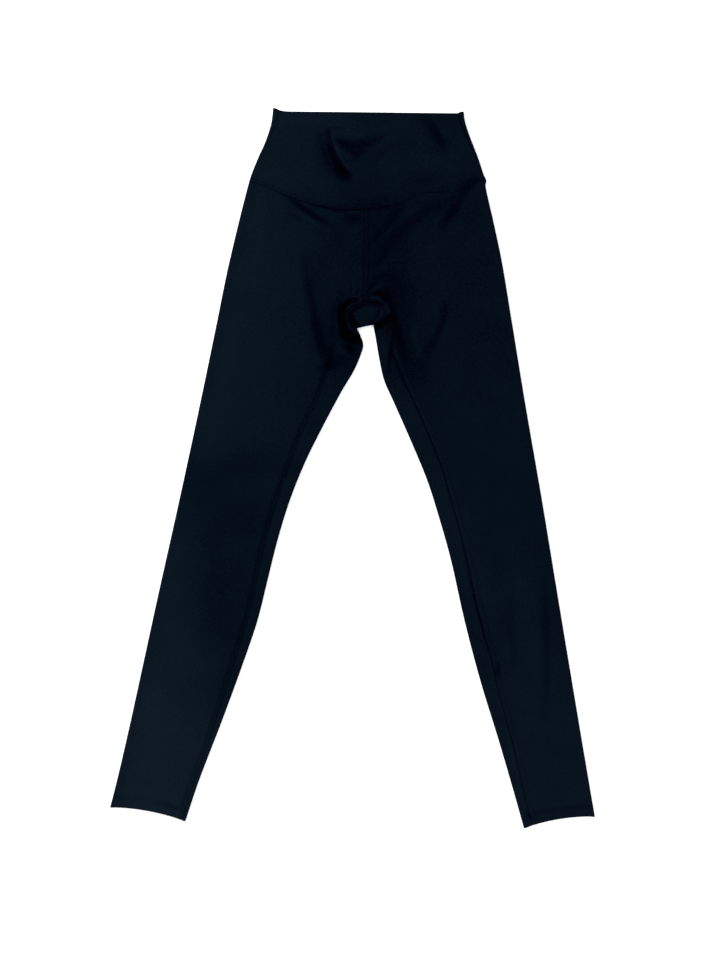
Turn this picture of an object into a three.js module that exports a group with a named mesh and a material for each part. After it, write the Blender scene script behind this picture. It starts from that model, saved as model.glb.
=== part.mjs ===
// A pair of high-waisted leggings laid flat on its back, front side up.
// Two one-piece legs, each wrapped round from the inseam to the centre back, a curved waistband
// in a front and a back piece, and a gusset folded over the crotch. Millimetres, +Z up, +Y
// towards the waist, +X to the wearer's left. The origin is under the middle of the garment.
import * as THREE from "three";

// Driving sizes
const LEG_CLOTH = 1.2;
const BAND_CLOTH = 1.8; // the waistband is cloth doubled over its top edge
const HEM_CLOTH = 1.9; // the hem is turned up once inside
const HEM_DEPTH = 14;
const SEAM_GAP = 0.35;
const LAYER_GAP = 0.5; // the least room between the front and the back cloth
const ROLL = 2.6; // how far the cloth at a folded edge takes to turn over
const SEAM_STRIP = 7.5; // width of the flat, stitched-down seam
const SEAM_RAISE = 0.5;
const STRIP_SLOPE = 1; // the side of a raised seam strip

// The height of the upper cloth over the table where nothing creases it
const HIP_HEIGHT = 5.4;
const ANKLE_HEIGHT = 3.6;
const BAND_HEIGHT = 5.6;
const HEM_HEIGHT = 4.6;
const EDGE_LIFT = 1.2; // a folded edge stands a little higher than the cloth beside it
const EDGE_REACH = 9;
const HEIGHT_EASE = 0.6; // how softly a trough bottoms out on the back cloth
const HIP_Y = 140; // the upper cloth thins out from here down to the shin
const SHIN_Y = -260;
// Measured up the garment from the waistband's seam: where the upper cloth rises from the legs'
// height to the waistband's, and where it starts to leave room for the thicker wall
const BAND_RAMP = { low: -16, high: 2 };
const BAND_ROOM = { low: -10, high: -1 };

// The outline as it lies: across (x) at heights up the garment (y)
const OUTER_RIGHT = [
  { y: 467, x: -104 },
  { y: 456, x: -105 },
  { y: 445, x: -107 },
  { y: 424, x: -114 },
  { y: 403, x: -123.5 },
  { y: 382, x: -132 },
  { y: 371, x: -135.5 },
  { y: 322, x: -148 },
  { y: 254, x: -164 },
  { y: 192, x: -176.5 },
  { y: 88, x: -198 },
  { y: -42, x: -226 },
  { y: -172, x: -255 },
  { y: -328, x: -289 },
  { y: -400, x: -305.5 },
  { y: -442, x: -315.2 },
];
const OUTER_LEFT = [
  { y: 465, x: 144 },
  { y: 452, x: 145.5 },
  { y: 434, x: 151 },
  { y: 403, x: 163 },
  { y: 382, x: 170 },
  { y: 374, x: 174.5 },
  { y: 367, x: 172.5 },
  { y: 322, x: 182.5 },
  { y: 270, x: 193.5 },
  { y: 192, x: 206.5 },
  { y: 88, x: 223.5 },
  { y: -42, x: 246 },
  { y: -95, x: 256 },
  { y: -172, x: 267.5 },
  { y: -328, x: 293.5 },
  { y: -452, x: 314.5 },
];
const INNER_RIGHT = [
  { y: 181.5, x: 5.5 },
  { y: 172, x: 10 },
  { y: 161, x: 13.5 },
  { y: 151, x: 11.5 },
  { y: 127, x: 1.5 },
  { y: 101, x: -14 },
  { y: 62, x: -35 },
  { y: 10, x: -61 },
  { y: -42, x: -82 },
  { y: -94, x: -98 },
  { y: -146, x: -111 },
  { y: -198, x: -124 },
  { y: -250, x: -141.5 },
  { y: -328, x: -170 },
  { y: -406, x: -200 },
  { y: -458, x: -217.5 },
];
const INNER_LEFT = [
  { y: 186, x: 26.5 },
  { y: 166, x: 30 },
  { y: 140, x: 34.5 },
  { y: 114, x: 40.5 },
  { y: 88, x: 52 },
  { y: 36, x: 75 },
  { y: -16, x: 96.5 },
  { y: -68, x: 113 },
  { y: -120, x: 127.5 },
  { y: -198, x: 145 },
  { y: -276, x: 165.5 },
  { y: -354, x: 189.5 },
  { y: -419, x: 208.5 },
  { y: -467, x: 222 },
];

// The curved seam between waistband and legs: its height (y) across the front (x)
const BAND_SEAM = [
  { x: -136, y: 372 },
  { x: -114, y: 366 },
  { x: -90, y: 354.5 },
  { x: -67, y: 346.5 },
  { x: -44, y: 340.5 },
  { x: -20, y: 336.5 },
  { x: 18, y: 337.5 },
  { x: 49, y: 341 },
  { x: 72, y: 348.5 },
  { x: 86, y: 355 },
  { x: 107, y: 358 },
  { x: 128, y: 357.5 },
  { x: 142, y: 361.8 },
  { x: 156, y: 368.5 },
  { x: 173, y: 374.5 },
];

// How far each inseam lies in from the leg's inner edge, because the seam rolls to the front
const INSEAM_RIGHT = [
  { y: 178, in: 26 },
  { y: 160, in: 36 },
  { y: 122, in: 33 },
  { y: 96, in: 26 },
  { y: 50, in: 23.5 },
  { y: 4, in: 18.5 },
  { y: -45, in: 16.5 },
  { y: -118, in: 14.5 },
  { y: -178, in: 12 },
  { y: -236, in: 11.5 },
  { y: -328, in: 7 },
  { y: -374, in: 5 },
  { y: -458, in: 4.5 },
];
const INSEAM_LEFT = [
  { y: 180, in: 24 },
  { y: 157, in: 18 },
  { y: 131, in: 23.5 },
  { y: 97, in: 26.5 },
  { y: 3, in: 26 },
  { y: -24, in: 23.5 },
  { y: -102, in: 21.5 },
  { y: -159, in: 20.5 },
  { y: -259, in: 22 },
  { y: -282, in: 20 },
  { y: -368, in: 16.5 },
  { y: -440, in: 12.5 },
  { y: -467, in: 13 },
];

// The seams round the crotch: centre front, centre back and the gusset's corners
const CENTRE_FRONT_X = 14.4;
const CENTRE_BACK_X = 9;
const GUSSET_FRONT = { x: 12.9, y: 216.5 };
const GUSSET_BACK = { x: 10.5, y: 242 };
const GUSSET_BACK_HALF = 1.6; // the blunt back point of the gusset
const CORNER_DROP = 4; // the left leg's rings reach the gusset's corner this much further down
const GUSSET_RIGHT = { x: -11.5, y: 202.5 };
const GUSSET_LEFT = { x: 38, y: 211.5 };
const CROTCH_RIGHT = { x: 5.5, y: 181.5 };
const CROTCH_LEFT = { x: 26.5, y: 186 };

// The waist edge, with the two side seams standing up at its ends
const WAIST_MIDDLE = 462.8;
const WAIST_FALL = 0.0105;
const WAIST_EARS = [
  { x: -104, rise: 3.4, reach: 10 },
  { x: 143, rise: 1.6, reach: 4 },
];
const SIDE_SEAM_TOP = 7; // in from the folded side, at the waist and at the band's lower seam
const SIDE_SEAM_LOW = 3.6;
const BACK_PEEK = 0.5; // the back of the waist shows above the front by this much

// The hems, which bow up between their ends
const HEM_RIGHT = { outerX: -315, outerY: -441, innerX: -218, innerY: -459, bow: 4.2 };
const HEM_LEFT = { outerX: 314.5, outerY: -453, innerX: 222.5, innerY: -468, bow: 4.2 };

// Creases of the upper cloth, each along an arc from a to c that bends towards b.
// high is its height, or depth below zero; left and right are its widths beside its line.
const CREASES = [
  // waistband: a puff between the sides, a curved fold and a V-shaped fold pressed into it
  { a: [-80, 412], b: [-4, 424], c: [74, 410], high: 4.4, left: 30, right: 30 },
  { a: [-29, 447], b: [-46, 408], c: [-3, 372], high: -5.4, left: 5, right: 10 },
  { a: [-25, 440], b: [-31, 408], c: [3, 380], high: 2.6, left: 6, right: 4 },
  { a: [-20, 428], b: [7, 392], c: [41, 437], high: -4.6, left: 6, right: 9 },
  { a: [-20, 444], b: [9, 422], c: [45, 443], high: 2.2, left: 5, right: 4 },
  { a: [96, 459], b: [111, 436], c: [118, 408], high: -2.4, left: 8, right: 8 },
  { a: [32, 402], b: [46, 410], c: [52, 427], high: -1.3, left: 7, right: 7 },
  { a: [-24, 351], b: [-4, 364], c: [14, 351], high: -1.4, left: 10, right: 10 },
  { a: [72, 366], b: [93, 379], c: [112, 374], high: -1.2, left: 9, right: 9 },
  { a: [134, 352], b: [152, 362], c: [168, 381], high: -2.8, left: 8, right: 8 },
  // hips: creases that fan out below the waistband's seam
  { a: [-98, 361], b: [-66, 339], c: [-25, 311], high: -2.4, left: 5, right: 6 },
  { a: [-84, 342], b: [-62, 322], c: [-35, 305], high: 1.5, left: 6, right: 6 },
  { a: [-56, 320], b: [-43, 308], c: [-27, 292], high: -1.2, left: 6, right: 6 },
  { a: [-12, 330], b: [2, 322], c: [15, 321], high: -1.6, left: 5, right: 5 },
  { a: [139, 342], b: [64, 340], c: [45, 285], high: -2.2, left: 8, right: 8 },
  { a: [100, 330], b: [61, 320], c: [32, 289], high: 1.5, left: 8, right: 8 },
  { a: [66, 343], b: [57, 325], c: [22, 296], high: -1.9, left: 7, right: 7 },
  { a: [135, 338], b: [127, 325], c: [114, 312], high: -1.5, left: 6, right: 6 },
  // thighs: long soft folds towards the crotch
  { a: [-62, 274], b: [-60, 216], c: [-40, 148], high: -2.2, left: 10, right: 8 },
  { a: [-54, 268], b: [-45, 230], c: [-34, 190], high: 1.7, left: 8, right: 8 },
  { a: [121, 221], b: [122, 181], c: [92, 146], high: -1.5, left: 8, right: 8 },
  { a: [-50, 198], b: [-48, 158], c: [-26, 128], high: -1.5, left: 6, right: 6 },
  { a: [92, 96], b: [104, 84], c: [112, 66], high: -1.0, left: 14, right: 14 },
  // crotch: the cloth stands up round the gusset and drops into hollows beside it
  { a: [-6, 244], b: [-44, 226], c: [-32, 152], high: 3.4, left: 8, right: 16 },
  { a: [4, 222], b: [-24, 206], c: [-8, 166], high: -3.2, left: 6, right: 6 },
  { a: [-15, 178], b: [-8, 160], c: [14, 166], high: -2.4, left: 6, right: 6 },
  { a: [18, 252], b: [56, 252], c: [62, 190], high: 2.6, left: 11, right: 9 },
  { a: [38, 239], b: [60, 221], c: [60, 151], high: -2.6, left: 7, right: 6 },
  { a: [55, 201], b: [46, 190], c: [26, 183], high: -2.4, left: 5, right: 5 },
  { a: [-12, 196], b: [15, 206], c: [36, 200], high: 2.0, left: 10, right: 10 },
  { a: [-48, 129], b: [-28, 131], c: [-4, 151], high: -2.0, left: 6, right: 6 },
  // knees and shins: broad, shallow waves, and a pucker beside the left inseam
  { a: [-196, 128], b: [-120, 148], c: [-40, 112], high: 1.3, left: 30, right: 30 },
  { a: [-206, 14], b: [-140, 50], c: [-64, 30], high: -1.1, left: 40, right: 40 },
  { a: [-266, -300], b: [-226, -268], c: [-200, -200], high: 0.8, left: 30, right: 30 },
  { a: [252, -140], b: [257, -224], c: [246, -322], high: -1.3, left: 11, right: 11 },
  { a: [208, -210], b: [217, -234], c: [203, -258], high: -1.1, left: 6, right: 6 },
  { a: [192, -252], b: [187, -264], c: [191, -276], high: -1.2, left: 4, right: 4 },
];

// Fineness of the cloth: rings down a leg, and columns round it
const RINGS_TO_CROTCH = [0, 0.02, 0.042, 0.064, 0.085, 0.104];
const RINGS_BELOW = [
  0.206, 0.22, 0.237, 0.252, 0.268, 0.288, 0.31, 0.345, 0.385, 0.43, 0.48, 0.53, 0.58, 0.63,
  0.675, 0.715, 0.75, 0.79, 0.83, 0.87, 0.91, 0.95,
];
const FRONT_COLUMNS = 18;
const BACK_COLUMNS = 4;
const ROLL_COLUMNS = 4;
const FLAP_COLUMNS = 2;
const WAIST_SHARE = 0.16; // the waist seam's curve is gone from the rings this far down a leg
const HEM_SHARE = 0.9; // and the hem's bow starts here
const BAND_COLUMNS = 36;
const BAND_ROWS = 12;
const BAND_BACK_COLUMNS = 9;
const GUSSET_COLUMNS = 10;
const GUSSET_FRONT_ROWS = 6;
const GUSSET_BACK_ROWS = 5;
const GUSSET_EASE = 0.35; // the share of the gusset's width over which its fold turns square
const HEM_STEP_SHARE = 0.001; // the wall thickens within this share of a leg, at the hem's top
const RING_CLEARANCE = 0.01; // the least share between a ring and the gusset's back point
const CORNER_SHARE = 0.03; // within this share below the crotch the inner fold turns square to the leg
const SLOPE_STEP = 3; // the span over which a slope is measured

// Plain helpers
const mix = (a, b, t) => a + (b - a) * t;
const clamp = (v, low, high) => Math.min(Math.max(v, low), high);
const smooth = (low, high, v) => {
  const t = clamp((v - low) / (high - low), 0, 1);
  return t * t * (3 - 2 * t);
};
const bell = (d, reach) => Math.exp(-((d / reach) ** 2));
const mixPoint = (p, q, t) => ({ x: mix(p.x, q.x, t), y: mix(p.y, q.y, t) });
const awayFrom = (p, q) => {
  const long = Math.hypot(q.x - p.x, q.y - p.y);
  return { x: (q.x - p.x) / long, y: (q.y - p.y) / long };
};

// A smooth curve through the rows of a table: the value of column `of` where column `at` is v
function read(rows, at, of, v) {
  const up = rows[0][at] < rows[rows.length - 1][at];
  const sorted = up ? rows : [...rows].reverse();
  let i = sorted.findIndex((row) => row[at] > v) - 1;
  if (i === -2) i = sorted.length - 2;
  i = clamp(i, 0, sorted.length - 2);
  const [p, q] = [sorted[i], sorted[i + 1]];
  const before = sorted[Math.max(i - 1, 0)];
  const after = sorted[Math.min(i + 2, sorted.length - 1)];
  const span = q[at] - p[at];
  const slopeP = (q[of] - before[of]) / (q[at] - before[at]);
  const slopeQ = (after[of] - p[of]) / (after[at] - p[at]);
  const t = (v - p[at]) / span;
  if (t < 0) return p[of] + slopeP * (v - p[at]);
  if (t > 1) return q[of] + slopeQ * (v - q[at]);
  const [t2, t3] = [t * t, t * t * t];
  return (
    (2 * t3 - 3 * t2 + 1) * p[of] +
    (t3 - 2 * t2 + t) * span * slopeP +
    (3 * t2 - 2 * t3) * q[of] +
    (t3 - t2) * span * slopeQ
  );
}

// Distance of a point from a chain of points, in plan
function distanceTo(chain, x, y) {
  let best = Infinity;
  for (let i = 1; i < chain.length; i++) {
    const [p, q] = [chain[i - 1], chain[i]];
    const [dx, dy] = [q.x - p.x, q.y - p.y];
    const t = clamp(((x - p.x) * dx + (y - p.y) * dy) / (dx * dx + dy * dy), 0, 1);
    best = Math.min(best, Math.hypot(x - p.x - dx * t, y - p.y - dy * t));
  }
  return best;
}

// Height of the upper cloth
const waistY = (x) =>
  WAIST_EARS.reduce((y, ear) => y + ear.rise * bell(x - ear.x, ear.reach), WAIST_MIDDLE - WAIST_FALL * x);
const bandSeamY = (x) => read(BAND_SEAM, "x", "y", x);
// On the back the seam runs straight from each side down to the centre back
function backSeamY(x) {
  const side = x < CENTRE_BACK_X ? BAND_SEAM[0] : BAND_SEAM[BAND_SEAM.length - 1];
  return mix(side.y, bandSeamY(CENTRE_FRONT_X), (x - side.x) / (CENTRE_BACK_X - side.x));
}
function hemY(hem, x) {
  const t = clamp((x - hem.outerX) / (hem.innerX - hem.outerX), 0, 1);
  return mix(hem.outerY, hem.innerY, t) + hem.bow * 4 * t * (1 - t);
}
const innerEdges = [...[...INNER_RIGHT].reverse(), ...INNER_LEFT];
const foldedEdges = [OUTER_RIGHT, OUTER_LEFT, innerEdges];

// A crease raises or lowers the cloth along an arc, and fades towards both of its ends
const ARC_STEPS = 14;
const creaseArcs = CREASES.map(({ a, b, c, ...size }) => {
  const points = [];
  for (let i = 0; i <= ARC_STEPS; i++) {
    const t = i / ARC_STEPS;
    points.push({
      x: (1 - t) ** 2 * a[0] + 2 * t * (1 - t) * b[0] + t * t * c[0],
      y: (1 - t) ** 2 * a[1] + 2 * t * (1 - t) * b[1] + t * t * c[1],
    });
  }
  return { points, ...size };
});
function creaseHeight({ points, high, left, right }, x, y) {
  let best = { d: Infinity };
  for (let i = 1; i < points.length; i++) {
    const [p, q] = [points[i - 1], points[i]];
    const [dx, dy] = [q.x - p.x, q.y - p.y];
    const t = clamp(((x - p.x) * dx + (y - p.y) * dy) / (dx * dx + dy * dy), 0, 1);
    const d = Math.hypot(x - p.x - dx * t, y - p.y - dy * t);
    const side = dx * (y - p.y) - dy * (x - p.x);
    if (d < best.d) best = { d, side, t: (i - 1 + t) / (points.length - 1) };
  }
  const fade = Math.sin(Math.PI * best.t) ** 0.7;
  return high * fade * bell(best.d, best.side > 0 ? left : right);
}

function upperHeight(x, y) {
  const aboveSeam = y - bandSeamY(x);
  const hem = x < CENTRE_FRONT_X ? HEM_RIGHT : HEM_LEFT;
  const aboveHem = y - hemY(hem, x);
  const leg = mix(ANKLE_HEIGHT, HIP_HEIGHT, smooth(SHIN_Y, HIP_Y, y));
  const flat = mix(leg, BAND_HEIGHT, smooth(BAND_RAMP.low, BAND_RAMP.high, aboveSeam));
  const hemmed = mix(HEM_HEIGHT, flat, smooth(HEM_DEPTH, 2 * HEM_DEPTH, aboveHem));
  const lift = Math.max(...foldedEdges.map((edge) => bell(distanceTo(edge, x, y), EDGE_REACH)));
  const creases = creaseArcs.reduce((sum, arc) => sum + creaseHeight(arc, x, y), 0);
  const wall = mix(LEG_CLOTH, BAND_CLOTH, smooth(BAND_ROOM.low, BAND_ROOM.high, aboveSeam));
  const least = 2 * mix(HEM_CLOTH, wall, smooth(HEM_DEPTH, 1.5 * HEM_DEPTH, aboveHem)) + LAYER_GAP;
  const wanted = hemmed + EDGE_LIFT * lift + creases;
  // a soft maximum of the wanted height and the least one
  return least + (wanted - least + Math.hypot(wanted - least, HEIGHT_EASE)) / 2;
}

// One point of a sheet's outer face: where it is, the way in which the wall is measured, and how
// thick it is that way. The wall hangs straight down, so that pieces never cross at a seam.
const onTop = ({ x, y }, cloth, raise = 0) => {
  const rise = (dx, dy) => upperHeight(x + dx, y + dy) - upperHeight(x - dx, y - dy);
  const slopeX = rise(SLOPE_STEP, 0) / (2 * SLOPE_STEP);
  const slopeY = rise(0, SLOPE_STEP) / (2 * SLOPE_STEP);
  const wall = cloth * Math.hypot(slopeX, slopeY, 1);
  const at = new THREE.Vector3(x, y, upperHeight(x, y) + raise);
  return { at, faces: new THREE.Vector3(0, 0, 1), wall };
};
const underneath = ({ x, y }, wall) => ({
  at: new THREE.Vector3(x, y, 0),
  faces: new THREE.Vector3(0, 0, -1),
  wall,
});

// The place where the cloth starts to turn over at a folded edge
const inside = (edge, out) => ({ x: edge.x - out.x * ROLL, y: edge.y - out.y * ROLL });

// The turn of the cloth at a folded edge, from the underside up to the top. `out` points away
// from the cloth in plan. The first and the last point lie ROLL in from the edge.
function roll(edge, out, wall, steps) {
  const from = inside(edge, out);
  const half = upperHeight(from.x, from.y) / 2;
  return Array.from({ length: steps + 1 }, (_, i) => {
    const turn = -Math.PI / 2 + (Math.PI * i) / steps;
    const reach = ROLL * Math.cos(turn);
    return {
      at: new THREE.Vector3(from.x + out.x * reach, from.y + out.y * reach, half + half * Math.sin(turn)),
      faces: new THREE.Vector3(out.x * Math.cos(turn), out.y * Math.cos(turn), Math.sin(turn)).normalize(),
      wall,
    };
  });
}

// Makes one closed wall from grids of sheet points. Grids that share points are joined there, and
// each four-cornered face is split along its shorter diagonal, which follows the folds best.
function wallFrom(grids) {
  const outer = [];
  const index = new Map();
  const faces = [];
  const number = (point) => {
    const key = point.at.toArray().map((v) => v.toFixed(3)).join();
    if (!index.has(key)) {
      index.set(key, outer.length);
      outer.push(point);
    }
    return index.get(key);
  };
  for (const grid of grids) {
    const rows = grid.map((row) => row.map(number));
    for (let r = 1; r < rows.length; r++) {
      for (let c = 1; c < rows[r].length; c++) {
        const [a, b] = [rows[r - 1][c - 1], rows[r - 1][c]];
        const [d, e] = [rows[r][c - 1], rows[r][c]];
        const falling = outer[a].at.distanceTo(outer[e].at) <= outer[b].at.distanceTo(outer[d].at);
        const halves = falling ? [[a, d, e], [a, e, b]] : [[a, d, b], [b, d, e]];
        for (const face of halves) {
          if (new Set(face).size === 3) faces.push(face);
        }
      }
    }
  }
  const count = outer.length;
  const places = outer.map(({ at }) => at);
  const inner = outer.map(({ at, faces: out, wall }) => at.clone().addScaledVector(out, -wall));
  const triangles = faces.flatMap(([a, b, c]) => [a, b, c, a + count, c + count, b + count]);
  const edges = new Set(faces.flatMap(([a, b, c]) => [`${a} ${b}`, `${b} ${c}`, `${c} ${a}`]));
  for (const edge of edges) {
    const [a, b] = edge.split(" ").map(Number);
    if (!edges.has(`${b} ${a}`)) triangles.push(b, a, a + count, b, a + count, b + count);
  }
  const geometry = new THREE.BufferGeometry();
  geometry.setFromPoints([...places, ...inner]);
  geometry.setIndex(triangles);
  geometry.computeVertexNormals();
  return geometry;
}

// The lines of one leg in plan. side is -1 for the wearer's right leg and 1 for the left one.
function legLines(side) {
  const right = side < 0;
  const outer = right ? OUTER_RIGHT : OUTER_LEFT;
  const inner = right ? INNER_RIGHT : INNER_LEFT;
  const inset = right ? INSEAM_RIGHT : INSEAM_LEFT;
  const hem = right ? HEM_RIGHT : HEM_LEFT;
  const corner = right ? GUSSET_RIGHT : GUSSET_LEFT;
  const crotch = right ? CROTCH_RIGHT : CROTCH_LEFT;
  const onOuter = (y) => ({ x: read(outer, "y", "x", y), y });
  const onInner = (y) => ({ x: read(inner, "y", "x", y), y });
  const onInseam = (y) => ({ x: onInner(y).x + side * read(inset, "y", "in", y), y });
  const waistSide = right ? BAND_SEAM[0] : BAND_SEAM[BAND_SEAM.length - 1];
  const beside = (x) => x + (side * SEAM_GAP) / 2;
  const frontTip = { x: beside(GUSSET_FRONT.x), y: GUSSET_FRONT.y };
  const centreTop = bandSeamY(beside(CENTRE_FRONT_X));
  const inseamTop = inset[0].y;
  const inseamHem = hemY(hem, onInseam(hem.innerY).x);
  // Shares of the way down a leg where its seams turn a corner
  const share = (y) => (centreTop - y) / (centreTop - hem.innerY);
  const back = share(GUSSET_BACK.y);
  const front = share(GUSSET_FRONT.y);
  const turn = share(right ? GUSSET_RIGHT.y : GUSSET_LEFT.y - CORNER_DROP);
  const fork = share(crotch.y);

  const outerAt = (s) => onOuter(mix(waistSide.y, hem.outerY, s));
  // The edge of the front: centre front seam, gusset, then inseam
  const frontAt = (s) => {
    if (s <= front) {
      return mixPoint({ x: beside(CENTRE_FRONT_X), y: centreTop }, frontTip, s / front);
    }
    if (s <= turn) {
      return mixPoint(frontTip, corner, (s - front) / (turn - front));
    }
    const y = mix(corner.y, inseamHem, (s - turn) / (1 - turn));
    const start = onInseam(inseamTop);
    return y > inseamTop ? mixPoint(start, corner, (y - inseamTop) / (corner.y - inseamTop)) : onInseam(y);
  };
  // The edge of the back: centre back seam, gusset, then the leg's folded inner edge
  const backAt = (s) => {
    const centreBack = { x: GUSSET_BACK.x + side * GUSSET_BACK_HALF, y: GUSSET_BACK.y };
    if (s <= back) {
      return mixPoint({ x: beside(CENTRE_BACK_X), y: centreTop }, centreBack, s / back);
    }
    if (s < fork) {
      return mixPoint(centreBack, inside(crotch, awayFrom(corner, crotch)), (s - back) / (fork - back));
    }
    return onInner(mix(crotch.y, hem.innerY, (s - fork) / (1 - fork)));
  };
  // The waist seam's curve and the hem's bow fade into the straight rings between them
  const waistBend = (s, t) => {
    const x = mix(outerAt(0).x, frontAt(0).x, t);
    return (bandSeamY(x) - mix(outerAt(0).y, centreTop, t)) * (1 - smooth(0, WAIST_SHARE, s));
  };
  const hemBend = (s, t, from, to) => {
    const [p, q] = [from(1), to(1)];
    return (hemY(hem, mix(p.x, q.x, t)) - mix(p.y, q.y, t)) * smooth(HEM_SHARE, 1, s);
  };
  return { outerAt, frontAt, backAt, waistBend, hemBend, back, front, turn, fork, corner, crotch };
}

// Both corners of the crotch open diagonally, so that legs and gusset turn over side by side.
// Further down, a leg's inner fold turns over square to the leg.
function foldWay(line, s, ring) {
  const corner = awayFrom(line.corner, line.crotch);
  return awayFrom({ x: 0, y: 0 }, mixPoint(corner, ring, smooth(0, CORNER_SHARE, s - line.fork)));
}

// The shares of the way down a leg at which its rings lie, with one at each corner of its seams
function ringShares(line) {
  const between = (a, b, n) => Array.from({ length: n }, (_, i) => mix(a, b, (i + 1) / n));
  const hemTop = 1 - HEM_DEPTH / (line.outerAt(0).y - line.outerAt(1).y);
  return [
    ...RINGS_TO_CROTCH.filter((s) => s < line.back - RING_CLEARANCE),
    line.back,
    ...between(line.back, line.front, 2),
    ...between(line.front, line.turn, 3).slice(0, -1),
    line.turn,
    ...between(line.turn, line.fork, 3).slice(0, -1),
    line.fork,
    ...RINGS_BELOW,
    hemTop - HEM_STEP_SHARE,
    hemTop,
    1,
  ];
}

// One leg: the front from its seam to the outer fold, the turn there, the back, and below the
// crotch the turn at the inner edge and the strip of cloth that comes up to the inseam
function legSheet(side) {
  const line = legLines(side);
  const shares = ringShares(line);
  const body = [];
  const flap = [];
  const stripFrom = side < 0 ? line.turn : 0;
  const turnRing = shares.indexOf(line.turn);
  const forkRing = shares.indexOf(line.fork);
  const hemRing = shares.length - 2;
  for (const [ring, s] of shares.entries()) {
    const wall = ring >= hemRing ? HEM_CLOTH : LEG_CLOTH;
    const o = line.outerAt(s);
    const f = line.frontAt(s);
    const b = line.backAt(s);
    const across = Math.hypot(f.x - o.x, f.y - o.y);
    const out = awayFrom(b, o);
    const outer = roll(o, out, wall, ROLL_COLUMNS);
    const bent = (p, q, t, bend) => {
      const at = mixPoint(p, q, t);
      return { x: at.x, y: at.y + bend };
    };
    const frontBend = (t) => line.waistBend(s, t) + line.hemBend(s, t, line.outerAt, line.frontAt);
    const backBend = (t) => line.hemBend(s, t, line.outerAt, line.backAt);
    // columns across the front, from the seam to the folded outer edge
    const steps = [0, SEAM_STRIP, SEAM_STRIP + STRIP_SLOPE].map((d) => 1 - d / across);
    const rest = FRONT_COLUMNS - 2;
    const rolled = ROLL / across;
    for (let i = 1; i < rest; i++) steps.push(mix(steps[2], rolled, i / rest));
    const top = steps.map((t, i) => {
      const raised = i < 2 && s >= stripFrom ? SEAM_RAISE : 0;
      return onTop(bent(o, f, t, frontBend(t)), wall, raised);
    });
    const forked = ring >= forkRing;
    const inwards = forked ? foldWay(line, s, awayFrom(o, b)) : null;
    const end = forked ? inside(b, inwards) : b;
    const under = [];
    for (let i = 1; i <= BACK_COLUMNS; i++) {
      const t = i / BACK_COLUMNS;
      const bend = forked && i === BACK_COLUMNS ? 0 : backBend(t);
      under.push(underneath(bent(inside(o, out), end, t, bend), wall));
    }
    body.push([...top, ...outer.reverse(), ...under]);
    if (!forked) continue;
    // the back cloth turns over the inner edge and comes up to the inseam
    const inner = roll(b, inwards, wall, ROLL_COLUMNS);
    const seamRing = Math.min(turnRing + 2 * (ring - forkRing), ring);
    const seam = line.frontAt(shares[seamRing]);
    const start = inner[inner.length - 1].at;
    const reach = Math.hypot(seam.x - start.x, seam.y - start.y);
    const meets = mixPoint(seam, start, SEAM_GAP / reach);
    const flat = [];
    for (let i = 1; i <= FLAP_COLUMNS; i++) {
      const t = i / FLAP_COLUMNS;
      flat.push(onTop(bent(start, meets, t, line.hemBend(s, t, line.backAt, line.frontAt)), wall));
    }
    flap.push([...inner, ...flat]);
  }
  const turned = (grid) => (side < 0 ? grid.map((row) => [...row].reverse()) : grid);
  return wallFrom([turned(body), turned(flap)]);
}

const bandPoint = (x, v, peek = 0, seamY = bandSeamY) => ({
  x,
  y: mix(waistY(x) + peek, seamY(x) + SEAM_GAP, v),
});

// The waistband's two folded sides, v of the way down from the waist to the lower seam. Each x is
// found on the outline in a few rounds, because the band's own lines slant there.
const EDGE_ROUNDS = 8;
function bandEdges(v) {
  const onOutline = (outline) => {
    let x = outline[0].x;
    for (let round = 0; round < EDGE_ROUNDS; round++) x = read(outline, "y", "x", bandPoint(x, v).y);
    return bandPoint(x, v);
  };
  return {
    right: onOutline(OUTER_RIGHT),
    left: onOutline(OUTER_LEFT),
    seamIn: mix(SIDE_SEAM_TOP, SIDE_SEAM_LOW, v),
  };
}

// The front of the waistband, between the two side seams
function bandFrontSheet() {
  const grid = [];
  for (let r = 0; r <= BAND_ROWS; r++) {
    const v = r / BAND_ROWS;
    const { right, left, seamIn } = bandEdges(v);
    const row = [];
    for (let c = 0; c <= BAND_COLUMNS; c++) {
      const x = mix(right.x + seamIn, left.x - seamIn, c / BAND_COLUMNS);
      row.push(onTop(bandPoint(x, v), BAND_CLOTH));
    }
    grid.push(row);
  }
  return wallFrom([grid]);
}

// The back of the waistband comes round both sides to meet the front at the side seams
function bandBackSheet() {
  const grid = [];
  const rows = BAND_ROWS / 2;
  for (let r = 0; r <= rows; r++) {
    const v = r / rows;
    const { right, left, seamIn } = bandEdges(v);
    const sideOf = (edge, side) => {
      const at = { x: edge.x, y: bandPoint(edge.x, v, BACK_PEEK).y };
      const turned = roll(at, { x: side, y: 0 }, BAND_CLOTH, ROLL_COLUMNS);
      const seamX = edge.x - side * (seamIn - SEAM_GAP);
      const seam = onTop(bandPoint(seamX, v), BAND_CLOTH);
      return [...turned, seam];
    };
    const rightSide = sideOf(right, -1).reverse();
    const leftSide = sideOf(left, 1);
    const from = rightSide[rightSide.length - 1].at.x;
    const to = leftSide[0].at.x;
    const under = [];
    for (let c = 1; c < BAND_BACK_COLUMNS; c++) {
      const x = mix(from, to, c / BAND_BACK_COLUMNS);
      under.push(underneath(bandPoint(x, v, BACK_PEEK, backSeamY), BAND_CLOTH));
    }
    grid.push([...rightSide, ...under, ...leftSide].reverse());
  }
  return wallFrom([grid]);
}

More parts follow.
